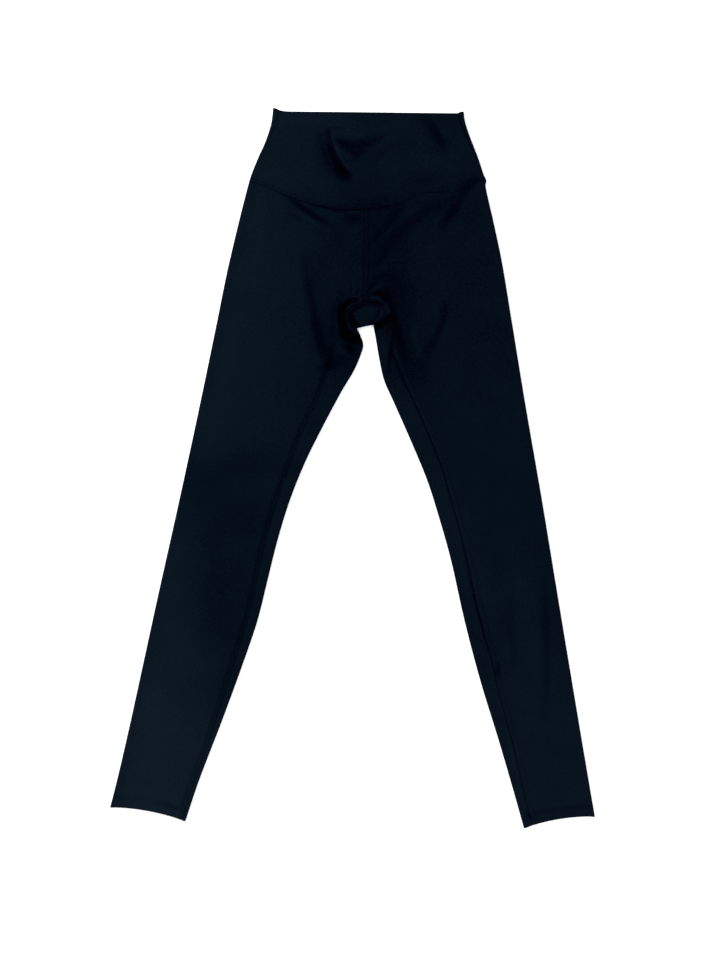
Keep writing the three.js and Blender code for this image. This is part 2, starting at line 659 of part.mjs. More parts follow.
// The gusset: front edge on the centre front seam and both legs, folded over at the crotch
function gussetSheet() {
  const [right, left] = [legLines(-1), legLines(1)];
  const grid = Array.from({ length: GUSSET_FRONT_ROWS + ROLL_COLUMNS + GUSSET_BACK_ROWS + 1 }, () => []);
  const down = { x: 0, y: -1 };
  for (let c = 0; c <= GUSSET_COLUMNS; c++) {
    const u = c / GUSSET_COLUMNS;
    const front =
      u < 0.5
        ? mixPoint(GUSSET_RIGHT, GUSSET_FRONT, 2 * u)
        : mixPoint(GUSSET_FRONT, GUSSET_LEFT, 2 * u - 1);
    const crotch = mixPoint(CROTCH_RIGHT, CROTCH_LEFT, u);
    const back = { x: GUSSET_BACK.x + mix(-1, 1, u) * GUSSET_BACK_HALF, y: GUSSET_BACK.y };
    const side = u < 0.5 ? right : left;
    const sideways = awayFrom(side.corner, side.crotch);
    const middle = smooth(0, GUSSET_EASE, Math.min(u, 1 - u));
    const out = awayFrom({ x: 0, y: 0 }, mixPoint(sideways, down, middle));
    const turned = roll(crotch, out, LEG_CLOTH, ROLL_COLUMNS).reverse();
    for (let r = 0; r < GUSSET_FRONT_ROWS; r++) {
      const t = r / GUSSET_FRONT_ROWS;
      grid[r].push(onTop(mixPoint(front, inside(crotch, out), t), LEG_CLOTH));
    }
    turned.forEach((point, i) => grid[GUSSET_FRONT_ROWS + i].push(point));
    for (let r = 1; r <= GUSSET_BACK_ROWS; r++) {
      const at = mixPoint(inside(crotch, out), back, r / GUSSET_BACK_ROWS);
      grid[GUSSET_FRONT_ROWS + ROLL_COLUMNS + r].push(underneath(at, LEG_CLOTH));
    }
  }
  return wallFrom([drawnIn(grid)]);
}

// Draws in the edges of a sheet by the width of a seam's gap
function drawnIn(grid) {
  const pull = (from, to) => {
    const far = to.at.clone().sub(from.at);
    from.at.addScaledVector(far, Math.min(SEAM_GAP / far.length(), 0.5));
  };
  for (const row of grid) {
    pull(row[0], row[1]);
    pull(row[row.length - 1], row[row.length - 2]);
  }
  grid[0].forEach((point, c) => pull(point, grid[1][c]));
  const last = grid.length - 1;
  grid[last].forEach((point, c) => pull(point, grid[last - 1][c]));
  return grid;
}

// Materials: single jersey for the legs and the gusset, and the same jersey doubled for the band
const LEG_KNIT = { color: 0x07111b, roughness: 0.72, metalness: 0 };
const BAND_KNIT = { color: 0x08121c, roughness: 0.66, metalness: 0 };

const leggings = new THREE.Group();
for (const [name, geometry, knit] of [
  ["waistband_front", bandFrontSheet(), BAND_KNIT],
  ["waistband_back", bandBackSheet(), BAND_KNIT],
  ["leg_right", legSheet(-1), LEG_KNIT],
  ["leg_left", legSheet(1), LEG_KNIT],
  ["gusset", gussetSheet(), LEG_KNIT],
]) {
  const piece = new THREE.Mesh(geometry, new THREE.MeshStandardMaterial(knit));
  piece.name = name;
  leggings.add(piece);
}

export default leggings;
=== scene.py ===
"""A pair of high-waisted leggings laid flat on its back, seen from straight above.

Sizes are in millimetres and become metres where a mesh is made. +Y is towards the waist, +X to
the wearer's left and +Z up. The origin is under the middle of the garment.
"""

import bpy
import numpy as np
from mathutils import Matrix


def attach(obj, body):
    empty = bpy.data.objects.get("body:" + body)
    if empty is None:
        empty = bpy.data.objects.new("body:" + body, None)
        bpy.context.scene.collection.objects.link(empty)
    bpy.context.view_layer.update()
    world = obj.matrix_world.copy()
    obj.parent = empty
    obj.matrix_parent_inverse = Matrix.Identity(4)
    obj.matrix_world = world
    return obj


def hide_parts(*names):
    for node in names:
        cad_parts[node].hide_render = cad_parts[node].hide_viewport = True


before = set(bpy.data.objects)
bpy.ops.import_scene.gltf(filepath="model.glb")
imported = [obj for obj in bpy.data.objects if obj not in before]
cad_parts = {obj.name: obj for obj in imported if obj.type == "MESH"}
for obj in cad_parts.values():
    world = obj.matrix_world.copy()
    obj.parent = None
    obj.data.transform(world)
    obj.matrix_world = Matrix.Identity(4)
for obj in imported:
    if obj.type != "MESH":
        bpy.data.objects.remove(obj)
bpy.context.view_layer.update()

# Camera and room: a long lens straight overhead, an even white room, one soft light low on the
# left that shows the folds, a weak one on the right and a plain white table. The lights and the
# table are placed in metres.
VIEW_CENTRE = (9.2, -15.4)
VIEW_HEIGHT = 1248
LENS = 70
SENSOR = 36
CLOTH_LEVEL = 4
camera_height = CLOTH_LEVEL + VIEW_HEIGHT * LENS / SENSOR
camera_data = bpy.data.cameras.new("camera")
camera_data.lens = LENS
camera_data.sensor_width = SENSOR
camera = bpy.data.objects.new("camera", camera_data)
camera.location = (VIEW_CENTRE[0] / 1000, VIEW_CENTRE[1] / 1000, camera_height / 1000)
bpy.context.collection.objects.link(camera)
bpy.context.scene.camera = camera
bpy.context.scene.view_settings.view_transform = "Standard"

world = bpy.data.worlds.new("room")
world.use_nodes = True
world.node_tree.nodes["Background"].inputs["Color"].default_value = (1, 1, 1, 1)
world.node_tree.nodes["Background"].inputs["Strength"].default_value = 0.95
bpy.context.scene.world = world


def soft_light(name, place, size, watts):
    """A square area light at a place, turned to face the middle of the garment."""
    data = bpy.data.lights.new(name, "AREA")
    data.shape = "SQUARE"
    data.size = size
    data.energy = watts
    light = bpy.data.objects.new(name, data)
    light.location = place
    towards = -light.location
    light.rotation_euler = towards.to_track_quat("-Z", "Y").to_euler()
    bpy.context.collection.objects.link(light)


soft_light("softbox", place=(-1.7, 1.3, 1.25), size=0.9, watts=62)
soft_light("fill", place=(1.6, -0.6, 2.2), size=1.6, watts=12)

TABLE_HALF = 3
TABLE_DROP = 2e-4
table_mesh = bpy.data.meshes.new("table")
table_corners = [
    (TABLE_HALF * x, TABLE_HALF * y, -TABLE_DROP) for x, y in ((-1, -1), (1, -1), (1, 1), (-1, 1))
]
table_mesh.from_pydata(table_corners, [], [(0, 1, 2, 3)])
table = bpy.data.objects.new("table", table_mesh)
bpy.context.collection.objects.link(table)
table_material = bpy.data.materials.new("table")
table_material.use_nodes = True
table_shader = table_material.node_tree.nodes["Principled BSDF"]
table_shader.inputs["Base Color"].default_value = (0.93, 0.93, 0.93, 1)
table_shader.inputs["Roughness"].default_value = 0.9
table_shader.inputs["Specular IOR Level"].default_value = 0.1
table_shader.inputs["Emission Color"].default_value = (1, 1, 1, 1)
table_shader.inputs["Emission Strength"].default_value = 0.3
table_mesh.materials.append(table_material)


# The cloth: navy stretch jersey, brushed to a soft matte face, in two layers that lie about 5 mm
# high in all. Its outline as it lies, its creases and its painted light and shade, with the nap,
# serve every piece.
class Socket:
    """Wraps a node's output, so that shader sums are written as plain arithmetic."""

    def __init__(self, tree, output=None):
        self.tree = tree
        self.output = output

    def node(self, kind, settings=None, *values, out=0, **named):
        """Makes a node of any type, sets it, then gives it values or links in order and by name."""
        made = self.tree.nodes.new(kind)
        for name, value in (settings or {}).items():
            if name == "stops":
                elements = made.color_ramp.elements
                for place, colour in value[1:-1]:
                    elements.new(place)
                for element, (place, colour) in zip(elements, value):
                    element.position = place
                    element.color = (*colour, 1)
            else:
                setattr(made, name, value)
        for key, value in [*enumerate(values), *named.items()]:
            if isinstance(value, Socket):
                self.tree.links.new(value.output, made.inputs[key])
            elif value is not None:
                made.inputs[key].default_value = value
        return Socket(self.tree, made.outputs[out])

    def maths(self, operation, *values):
        return self.node("ShaderNodeMath", {"operation": operation}, *values)

    def __add__(self, other):
        return self.maths("ADD", self, other)

    def __sub__(self, other):
        return self.maths("SUBTRACT", self, other)

    def __rsub__(self, other):
        return self.maths("SUBTRACT", other, self)

    def __mul__(self, other):
        return self.maths("MULTIPLY", self, other)

    __radd__ = __add__
    __rmul__ = __mul__


def yarn_material(name, stops, melange, cloudy, bump):
    """Navy yarn: a tone of painted light and shade, a fine melange grain and soft clouds pick a
    colour of the stops.
    """
    material = bpy.data.materials.new(name)
    material.use_nodes = True
    tree = material.node_tree
    shader = tree.nodes["Principled BSDF"]
    start = Socket(tree)
    place = start.node("ShaderNodeTexCoord", out="Object")

    def noise(scale, detail):
        return start.node("ShaderNodeTexNoise", None, Vector=place, Scale=scale, Detail=detail)

    tone = start.node("ShaderNodeAttribute", {"attribute_name": "tone"}, out="Fac")
    grain = noise(MELANGE_SCALE, 2.0)
    cloud = noise(CLOUD_SCALE, 3.0)
    share = MIDDLE_SHARE + TONE_SHARE * tone + melange * (grain - 0.5) + cloudy * (cloud - 0.5)
    colour = start.node("ShaderNodeValToRGB", {"stops": stops}, share)
    tree.links.new(colour.output, shader.inputs["Base Color"])
    normal = start.node(
        "ShaderNodeBump", None, Height=grain, Strength=bump, Distance=BUMP_HEIGHT, out="Normal"
    )
    tree.links.new(normal.output, shader.inputs["Normal"])
    shader.inputs["Roughness"].default_value = 0.6
    shader.inputs["Specular IOR Level"].default_value = 0.004
    shader.inputs["Sheen Weight"].default_value = 0.003
    shader.inputs["Sheen Tint"].default_value = (0.55, 0.8, 1, 1)
    return material


MELANGE_SCALE = 620.0
CLOUD_SCALE = 26.0
BUMP_HEIGHT = 0.0004
MIDDLE_SHARE = 0.55
TONE_SHARE = 0.3
# The tone moves the share: low stops, down to black, are painted shade; high stops painted light
JERSEY_STOPS = [
    (0.0, (0.0, 0.0, 0.0004)),
    (0.25, (0.0, 0.0004, 0.0025)),
    (0.4, (0.0003, 0.0017, 0.0048)),
    (0.55, (0.0010, 0.0033, 0.0070)),
    (0.85, (0.0026, 0.0057, 0.0104)),
    (1.0, (0.0038, 0.0074, 0.0126)),
]
THREAD_STOPS = [
    (0.0, (0.0002, 0.0014, 0.0040)),
    (0.55, (0.0022, 0.0048, 0.0092)),
    (1.0, (0.0042, 0.0076, 0.0130)),
]
jersey = yarn_material("jersey", JERSEY_STOPS, melange=0.62, cloudy=0.15, bump=0.25)
thread = yarn_material("thread", THREAD_STOPS, melange=0.6, cloudy=0.2, bump=0.0)

# Rows are (y, x) for the folded edges, (x, y) for the waistband's seam and (y, inset) for the
# inseams, which have rolled in from the legs' inner edges.
OUTER_RIGHT = [
    (467, -104), (456, -105), (445, -107), (424, -114), (403, -123.5), (382, -132),
    (371, -135.5), (322, -148), (254, -164), (192, -176.5), (88, -198), (-42, -226),
    (-172, -255), (-328, -289), (-400, -305.5), (-442, -316),
]
OUTER_LEFT = [
    (465, 144), (452, 145.5), (434, 151), (403, 163), (382, 170), (374, 173.5),
    (367, 172.5), (322, 182.5), (270, 193.5), (192, 206.5), (88, 223.5), (-42, 246),
    (-172, 267.5), (-328, 293.5), (-452, 314.5),
]
INNER_RIGHT = [
    (181.5, 5.5), (172, 10), (161, 13.5), (151, 11.5), (127, 1.5), (101, -14),
    (62, -35), (10, -61), (-42, -82), (-94, -98), (-146, -111), (-198, -124),
    (-250, -141.5), (-328, -170), (-406, -200), (-458, -217.5),
]
INNER_LEFT = [
    (186, 26.5), (166, 30), (140, 34.5), (114, 40.5), (88, 52), (36, 75),
    (-16, 96.5), (-68, 113), (-120, 127.5), (-198, 145), (-276, 165.5), (-354, 189.5),
    (-419, 208.5), (-467, 222),
]
BAND_SEAM = [
    (-136, 372), (-114, 366), (-90, 355.2), (-67, 347), (-44, 340.5), (-20, 335.9),
    (18, 336.7), (49, 340.3), (72, 348.2), (86, 355), (107, 358), (128, 357.5),
    (142, 361.8), (156, 368.5), (173, 374.5),
]
INSEAM_RIGHT = [
    (178, 26), (160, 36), (122, 33), (96, 26), (50, 23.5), (4, 18.5),
    (-45, 16.5), (-118, 15.2), (-178, 12.9), (-236, 12.5), (-328, 8.3), (-374, 6.3),
    (-458, 5.6),
]
INSEAM_LEFT = [
    (180, 24), (157, 18), (131, 23.5), (97, 26.5), (3, 26), (-24, 23.5),
    (-102, 21.5), (-159, 20.5), (-259, 22), (-282, 20), (-368, 16.5), (-440, 12.5),
    (-467, 13),
]
HEM_RIGHT = dict(outer=(-315.5, -441), inner=(-218, -459), bow=4.2)
HEM_LEFT = dict(outer=(314.5, -453), inner=(222.5, -468), bow=4.2)
HEM_DEPTH = 14
# Where the waistband's side seams end, the depth of a folded edge's turn, the gap between two
# sewn pieces, and where the centre-front seam meets the waistband
SIDE_SEAM_END = {-1: 372, 1: 374.5}
ROLL = 2.6
SEAM_GAP = 0.12
CENTRE_TOP_X = 14.4

# Each crease runs along an arc from a to c, bending towards b: ax, ay, bx, by, cx, cy, its height
# (a trough is negative), its widths on the left and right of its way, how much painted shade
# (negative) or painted highlight (positive) it lays on the cloth, and the power of its fall-off:
# 2 is a soft fold, 4 a steep-sided tuck.
CREASES = [
    # waistband
    (-80.5, 411, -4.5, 426.5, 74, 411, 4.4, 30, 30, 0, 2),
    (-37.5, 439.5, -39, 407, -14, 374.5, -2.6, 5, 10, -0.75, 2),
    (-30.5, 444, -31.5, 429, -26, 409.5, -1.6, 2.6, 4.5, -0.7, 4),
    (-28.5, 422.5, -24.5, 396, -0.5, 377, -4.4, 3.2, 4.6, -1.3, 4),
    (-22, 403, -15.5, 382.5, 1.5, 377, -1.6, 4.5, 5.5, -0.7, 2),
    (-22, 429, -22.5, 400.5, 5.5, 382.5, 2.6, 4, 3.2, 0.25, 2),
    (-26, 427, 2, 406, 45.5, 436.5, -3.2, 5.6, 5.8, -0.85, 3),
    (-15.5, 419, 4.5, 398.5, 27.5, 420, -2, 5, 5.5, -0.5, 2),
    (-24.5, 425.5, -17, 425.5, -4, 420, -0.8, 3.5, 3.5, -0.5, 2),
    (-6.5, 415, 5.5, 402, 19.5, 415, -0.6, 4.5, 4, -0.35, 4),
    (-22, 396.5, -20, 375, 2.5, 372.5, -1, 5.5, 5.5, -0.7, 3),
    (14.5, 424, 28.5, 428, 48, 441.5, 1, 2.4, 2.4, 0.45, 2),
    (-22, 420, -15, 407.5, 0, 400.5, 1.2, 3, 3, 0.35, 2),
    (-10.5, 396.5, -1, 400.5, 18.5, 407, -0.5, 4, 4, -0.35, 2),
    (-10.5, 438.5, 0.5, 421.5, 45.5, 441, 2, 5, 3.4, 0.1, 2),
    (-28.5, 442, -20, 442, -9, 439.5, -0.8, 2, 2, -0.5, 2),
    (-1, 396.5, 41, 395.5, 54.5, 425.5, -1.2, 6, 6, -0.22, 2),
    (88.5, 467, 105.5, 443.5, 125, 404.5, -2.4, 6, 7, -0.75, 2),
    (-24.5, 354, 2.5, 365, 25, 352.5, -1.2, 10, 10, -0.2, 2),
    (71.5, 367, 95, 383, 113, 370.5, -1.2, 9, 9, -0.25, 2),
    (134, 357.5, 151, 363.5, 168, 382.5, -2.6, 7, 7, -0.65, 2),
    # hips
    (-95, 357.5, -69, 341, -22, 311, -1.8, 3.2, 3.8, -0.7, 2),
    (-79, 351, -61.5, 333.5, -31, 316, -1.2, 5, 5, -0.35, 2),
    (-75.5, 337, -59, 325, -40, 314, 1.3, 3, 4, 0.4, 2),
    (-72.5, 348.5, -62.5, 344, -52, 334.5, 0.9, 2.6, 2.6, 0.35, 2),
    (-88.5, 334.5, -71, 324, -61, 320.5, -0.8, 3, 3, -0.4, 2),
    (-49.5, 312, -43.5, 307, -35, 296.5, -0.8, 3, 3, -0.15, 2),
    (-58.5, 343.5, -31, 336, 12, 337, -0.8, 3.4, 3, -0.4, 2),
    (-11.5, 330.5, 1.5, 323, 14.5, 324, -1.2, 4, 5.5, -0.55, 2),
    (-11.5, 335.5, 4.5, 330.5, 13, 332.5, 0.8, 3.4, 3.4, 0.25, 2),
    (30, 339.5, 48, 336, 66.5, 341, -0.6, 4, 4, -0.15, 2),
    (69, 344.5, 58.5, 326.5, 19.5, 287.5, -2, 6, 6, -0.38, 2),
    (144.5, 347.5, 86, 346.5, 27.5, 260, -2.2, 8, 8, -0.42, 2),
    (152, 367, 145.5, 352.5, 129, 333, -1.2, 5, 5, -0.3, 2),
    (100, 341, 62.5, 331, 35, 292.5, 1.2, 6, 6, 0.15, 2),
    (139, 344.5, 127, 328, 112, 311, -1.5, 6, 5, -0.65, 2),
    (51, 283.5, 39, 269.5, 22, 260, -0.8, 5, 5, -0.15, 2),
    # thighs
    (-63.5, 281, -54, 207, -41.5, 164, -1.9, 8, 6, -0.65, 2),
    (-49.5, 198, -46, 157.5, -24.5, 127.5, -1.6, 7, 7, -0.6, 2),
    (-49.5, 127.5, -29, 129.5, -1, 149.5, -2.2, 5.5, 6, -0.5, 2),
    (121, 221, 122.5, 181, 92.5, 146, -1.5, 5, 5, -0.55, 2),
    (77, 195, 85, 161.5, 86, 138, 0.9, 6, 6, 0.3, 2),
    (92.5, 160, 105.5, 155.5, 113, 133, -0.8, 12, 12, -0.1, 2),
    # crotch
    (-1, 233, -43.5, 227, -26, 151, 4.6, 7, 16, 0, 2),
    (8, 216, -6, 222.5, -17, 198, -4, 2.6, 4, -1.8, 4),
    (-13, 214.5, -19.5, 194, -7.5, 168, -5, 6, 4.6, -2.6, 4),
    (-15.5, 182, -9, 165, 15.5, 167, -5, 6.6, 5.6, -2.7, 4),
    (-15.5, 162.5, -2.5, 152.5, 5.5, 157.5, -1.2, 4, 4, -0.7, 2),
    (-7.5, 200.5, -3.5, 185.5, 4.5, 178.5, 0, 5.2, 3, -0.9, 4),
    (-2.5, 181, 2.5, 179, 10.5, 172, 0.8, 1.3, 1.3, 0.35, 2),
    (-9, 159, -1, 148.5, 6.5, 151, -1, 3, 3, -0.6, 2),
    (-30, 170.5, -24, 162, 0, 140.5, 1.8, 5, 5, 0.4, 2),
    (21, 231.5, 38.5, 264, 64, 239.5, -1.2, 4.5, 4.5, -0.25, 2),
    (17, 221, 19, 234, 34, 242, -0.8, 2.4, 2.4, -0.5, 2),
    (25, 227.5, 30.5, 233, 44.5, 240, 1.6, 2.4, 2.4, 0.15, 2),
    (25.5, 224, 34, 235, 44.5, 216.5, -3.6, 2.4, 3.4, -1.8, 4),
    (19.5, 218.5, 30, 223, 40.5, 217.5, 2.2, 2.2, 2.2, 0.3, 2),
    (19.5, 214, 29.5, 218.5, 41.5, 210, -1.2, 1.8, 1.8, -1.3, 4),
    (41.5, 235.5, 52.5, 210, 69, 135.5, -3, 4.5, 4.5, -0.95, 2),
    (57.5, 179.5, 64.5, 152.5, 74, 130, -1.2, 5, 5, -0.25, 2),
    (52.5, 201, 45, 189.5, 24, 183, -4, 5, 3.6, -2.4, 4),
    (40.5, 211, 49, 209, 49.5, 199, 2.6, 4, 4, 0.6, 2),
    (53.5, 187.5, 51.5, 153.5, 44.5, 120, -1.6, 2.2, 2.2, -1, 2),
    (51, 186, 47.5, 181.5, 41.5, 174.5, -0.8, 1.6, 1.6, -0.7, 2),
    (36.5, 179.5, 41.5, 152.5, 41.5, 120, 1.2, 6, 6, 0.45, 2),
    (-15.5, 198, 11, 205.5, 40.5, 203, 2.6, 12, 10, 0.3, 2),
    (12, 226.5, 17.5, 221, 21, 216, -0.6, 3.5, 3.5, -0.7, 2),
    # knees and shins
    (-196, 127.5, -123.5, 148.5, -40, 112, 1.3, 30, 30, 0, 2),
    (-206.5, 14.5, -145.5, 66.5, -63.5, 30, -1.2, 40, 40, 0, 2),
    (-266.5, -300, -219, -285, -200, -200, 0.8, 30, 30, 0, 2),
    (249, -135, 256, -225.5, 250.5, -334, -1.5, 5, 6, -0.52, 2),
    (253.5, -171.5, 268.5, -239, 260, -322, 0.8, 6, 6, 0.15, 2),
    (207, -161, 201, -218, 212.5, -244, -1, 5, 6, -0.35, 2),
    (212.5, -228.5, 214, -250, 201.5, -258.5, -0.8, 4, 4, -0.3, 2),
    (199, -218, 210.5, -242.5, 194, -253.5, 0.6, 4, 4, 0.15, 2),
    (141, -89.5, 153.5, -165, 177.5, -240.5, -0.4, 2.6, 2.4, -0.5, 2),
    (176, -243, 196, -311, 217, -418.5, 0, 1.2, 1.6, 0.3, 2),
    (190.5, -249.5, 185, -263.5, 192.5, -278, -1.4, 3.2, 3.6, -0.85, 2),
    # hems
    (-257.5, -432.5, -241, -438, -222, -445.5, -0.3, 3.2, 3.2, -0.6, 2),
    (-228.5, -455, -228, -447, -223, -439, 0.4, 2, 2, 0.5, 2),
    (-226, -445, -221, -447.5, -215.5, -451, -0.3, 2, 2, -0.5, 2),
    (223, -445.5, 228.5, -450.5, 233, -457, -0.6, 2.6, 2.6, -0.8, 2),
    (233, -448.5, 242.5, -445.5, 255, -442.5, -0.2, 3, 3, -0.35, 2),
    (269, -442, 286.5, -439, 312, -440, -0.2, 3.4, 3.4, -0.35, 2),
]
# The shallow creases of the back, which rests on the table: the same columns
BACK_CREASES = [
    (-96, 428, -20, 414, 40, 432, 0.8, 7, 9, -0.3, 2),
    (60, 404, 104, 396, 140, 420, 0.7, 8, 6, -0.3, 2),
    (-60, 300, 4, 282, 30, 236, 0.9, 7, 8, -0.4, 2),
    (70, 232, 96, 262, 150, 274, 0.9, 8, 6, -0.4, 2),
    (-120, 210, -70, 186, -30, 190, 0.8, 8, 7, -0.3, 2),
    (80, 170, 120, 190, 168, 176, 0.7, 6, 9, -0.3, 2),
    (-170, 60, -130, 30, -84, 44, 0.8, 9, 7, -0.3, 2),
    (110, 12, 150, -22, 206, -8, 0.8, 8, 8, -0.3, 2),
    (-210, -96, -180, -130, -136, -118, 0.7, 7, 9, -0.3, 2),
    (158, -150, 196, -176, 232, -160, 0.7, 8, 7, -0.3, 2),
    (-262, -260, -240, -330, -236, -392, 0.6, 6, 7, -0.3, 2),
    (232, -280, 250, -340, 262, -400, 0.6, 7, 6, -0.3, 2),
]
# Broad patches of painted light and shade, as the light from the left falls over the legs, together
# with the lie of the nap, smoothed one way or the other by hand: arcs as above, the tone and its width
NAP_AND_PAINTED_LIGHT = [
    (-143, 394, -168, 226, -191, 29, 0.5, 85),
    (29, 329, 29, 239, 12, 146, -0.5, 46),
    (62, 229, 74, 173, 77, 117, -0.4, 24),
    (113, 368, 146, 267, 163, 180, -0.27, 70),
    (61, 115, 85, 72, 118, -9, -0.25, 28),
    (-139, 17, -133, -28, -131, -74, -0.25, 24),
    (-201, 69, -194, 48, -186, 24, 0.3, 24),
    (-192, 17, -212, -25, -162, -288, -0.38, 37),
    (-240, -104, -250, -277, -264, -496, 0.8, 52),
    (-188, -260, -211, -374, -264, -509, 0.6, 50),
    (66, 99, 122, -45, 164, -165, 0.38, 22),
    (215, -301, 256, -425, 272, -522, 0.5, 66),
    (291, -321, 311, -396, 320, -483, 0.32, 32),
    (-279, -301, -298, -378, -305, -470, 0.6, 32),
    (-192, -340, -196, -373, -201, -431, 0.3, 24),
    (207, -379, 215, -412, 222, -470, 0.35, 22),
    (-40, 268, -36, 202, -32, 160, -0.28, 17),
    (-69, 338, -51, 320, -27, 302, -0.2, 22),
    (-183, -13, -166, -39, -155, -74, -0.2, 22),
    (-95, 454, -55, 462, -19, 454, 0.4, 13),
    (218, -152, 231, -188, 230, -236, 0.3, 18),
    (-235, -256, -222, -297, -205, -330, -0.15, 18),
    (-264, -446, -240, -450, -218, -457, 0.25, 8),
    (51, 388, 84, 399, 120, 395, 0.25, 20),
    (-1, 362, 31, 357, 59, 365, 0.15, 7),
    (-17, 156, -32, 110, -53, 56, -0.13, 22),
    (-170, -1, -142, 10, -82, 3, -0.3, 17),
]


def mix(a, b, t):
    return a + (b - a) * t


def smooth(low, high, v):
    t = np.clip((v - low) / (high - low), 0, 1)
    return t * t * (3 - 2 * t)


def bell(d, reach):
    return np.exp(-((d / reach) ** 2))


def curve(rows, v):
    """A smooth cubic through the rows of a two-column table, read at v in the first column."""
    at, of = np.array(sorted(rows), float).T
    v = np.asarray(v, float)
    i = np.clip(np.searchsorted(at, v, side="right") - 1, 0, len(at) - 2)
    before, after = np.maximum(i - 1, 0), np.minimum(i + 2, len(at) - 1)
    span = at[i + 1] - at[i]
    slope_p = (of[i + 1] - of[before]) / (at[i + 1] - at[before])
    slope_q = (of[after] - of[i]) / (at[after] - at[i])
    t = (v - at[i]) / span
    t2, t3 = t * t, t * t * t
    inner = (
        (2 * t3 - 3 * t2 + 1) * of[i] + (t3 - 2 * t2 + t) * span * slope_p
        + (3 * t2 - 2 * t3) * of[i + 1] + (t3 - t2) * span * slope_q
    )
    low = of[i] + slope_p * (v - at[i])
    high = of[i + 1] + slope_q * (v - at[i + 1])
    return np.where(t < 0, low, np.where(t > 1, high, inner))


def along_chain(points, x, y):
    """Distance from a chain of points, its side (positive on the left) and the share along it."""
    best = np.full(x.shape, np.inf)
    side = np.zeros(x.shape)
    share = np.zeros(x.shape)
    for i in range(len(points) - 1):
        (px, py), (qx, qy) = points[i], points[i + 1]
        dx, dy = qx - px, qy - py
        t = np.clip(((x - px) * dx + (y - py) * dy) / (dx * dx + dy * dy), 0, 1)
        d = np.hypot(x - px - dx * t, y - py - dy * t)
        nearer = d < best
        best = np.where(nearer, d, best)
        side = np.where(nearer, dx * (y - py) - dy * (x - px), side)
        share = np.where(nearer, (i + t) / (len(points) - 1), share)
    return best, side, share


def arc_points(ax, ay, bx, by, cx, cy):
    """Points along the arc from a to c that bends towards b."""
    t = np.linspace(0, 1, ARC_POINTS)[:, None]
    a, b, c = np.array([ax, ay]), np.array([bx, by]), np.array([cx, cy])
    return (1 - t) ** 2 * a + 2 * t * (1 - t) * b + t**2 * c


ARC_POINTS = 25
CREASE_FADE = 0.7


def creased(table, x, y):
    """Sums a table of creases: a bell across each arc, steeper with a higher power, fading out
    towards both of its ends. Gives the change in height and in tone, which is painted shade or
    painted highlight along the crease."""
    height, tone = np.zeros(x.shape), np.zeros(x.shape)
    for *corners, high, left, right, shade, power in table:
        arc = arc_points(*corners)
        reach = 3 * max(left, right)
        (low_x, low_y), (high_x, high_y) = arc.min(axis=0) - reach, arc.max(axis=0) + reach
        near = (x > low_x) & (x < high_x) & (y > low_y) & (y < high_y)
        d, side, t = along_chain(arc, x[near], y[near])
        across = np.exp(-((d / np.where(side > 0, left, right)) ** power))
        shape = np.sin(np.pi * t).clip(0) ** CREASE_FADE * across
        height[near] += high * shape
        # painted shade or painted highlight of the crease
        tone[near] += shade * shape
    return height, tone


# The waist's top edge: its y over the middle, its fall, and the (x, height, reach) of the ears
# that the side seams pull up
WAIST_MIDDLE = 462.8
WAIST_FALL = 0.0105
WAIST_EARS = [(-104, 3.4, 10), (143, 1.6, 4)]


def waist_y(x):
    ears = sum(high * bell(x - at, reach) for at, high, reach in WAIST_EARS)
    return WAIST_MIDDLE - WAIST_FALL * x + ears


def hem_y(hem, x):
    """A hem's edge: a line from its outer to its inner corner, bowed upwards."""
    (x0, y0), (x1, y1) = hem["outer"], hem["inner"]
    t = np.clip((x - x0) / (x1 - x0), 0, 1)
    return mix(y0, y1, t) + hem["bow"] * 4 * t * (1 - t)


def swapped(rows):
    return [(b, a) for a, b in rows]


# The folded edges, along which the cloth stands a little higher
FOLDS = [swapped(OUTER_RIGHT), swapped(OUTER_LEFT), swapped(INNER_RIGHT)[::-1] + swapped(INNER_LEFT)]
FOLD_REACH = 9
FOLD_LIFT = 1.2
# Heights of the upper cloth by place, and the cloth's walls, two of which lie on each other
HIP_HEIGHT, HIP_Y = 5.4, 140
SHIN_HEIGHT, SHIN_Y = 3.6, -260
BAND_HEIGHT, BAND_RAMP = 5.6, (-16, 2)
HEM_HEIGHT = 4.6
LEG_WALL, BAND_WALL, HEM_WALL = 1.2, 1.8, 1.9
BAND_WALL_RAMP = (-10, -1)
LAYER_GAP = 0.5
HEIGHT_EASE = 0.6
UNDER_FADE = 16
# Heights of the needle rows above the hems and above the waistband's lower seam
HEM_ROWS = (11.5, 16)
BAND_ROW = 4.2
# Painted shade along the waistband's lower seam and the needle row above it: how dark, by x
SEAM_SHADE = [
    (-125, 0.4), (-95, 0.4), (-45, 0.75), (0, 0.7), (40, 0.35), (70, 0.05), (150, 0.05),
    (165, 0.1),
]
ROW_SHADE = [
    (-125, 0.55), (-95, 0.4), (-60, 0.3), (-40, 0.35), (0, 0.25), (40, 0.15), (60, 0.2),
    (150, 0.15), (165, 0.25),
]
SEAM_SHADE_REACH = 1.3
ROW_SHADE_REACH = 1.8
# Painted shade along the hems' needle rows: how dark and how wide
HEM_SHADE, HEM_SHADE_REACH = 0.25, 3.2
DARKEST = -2.0


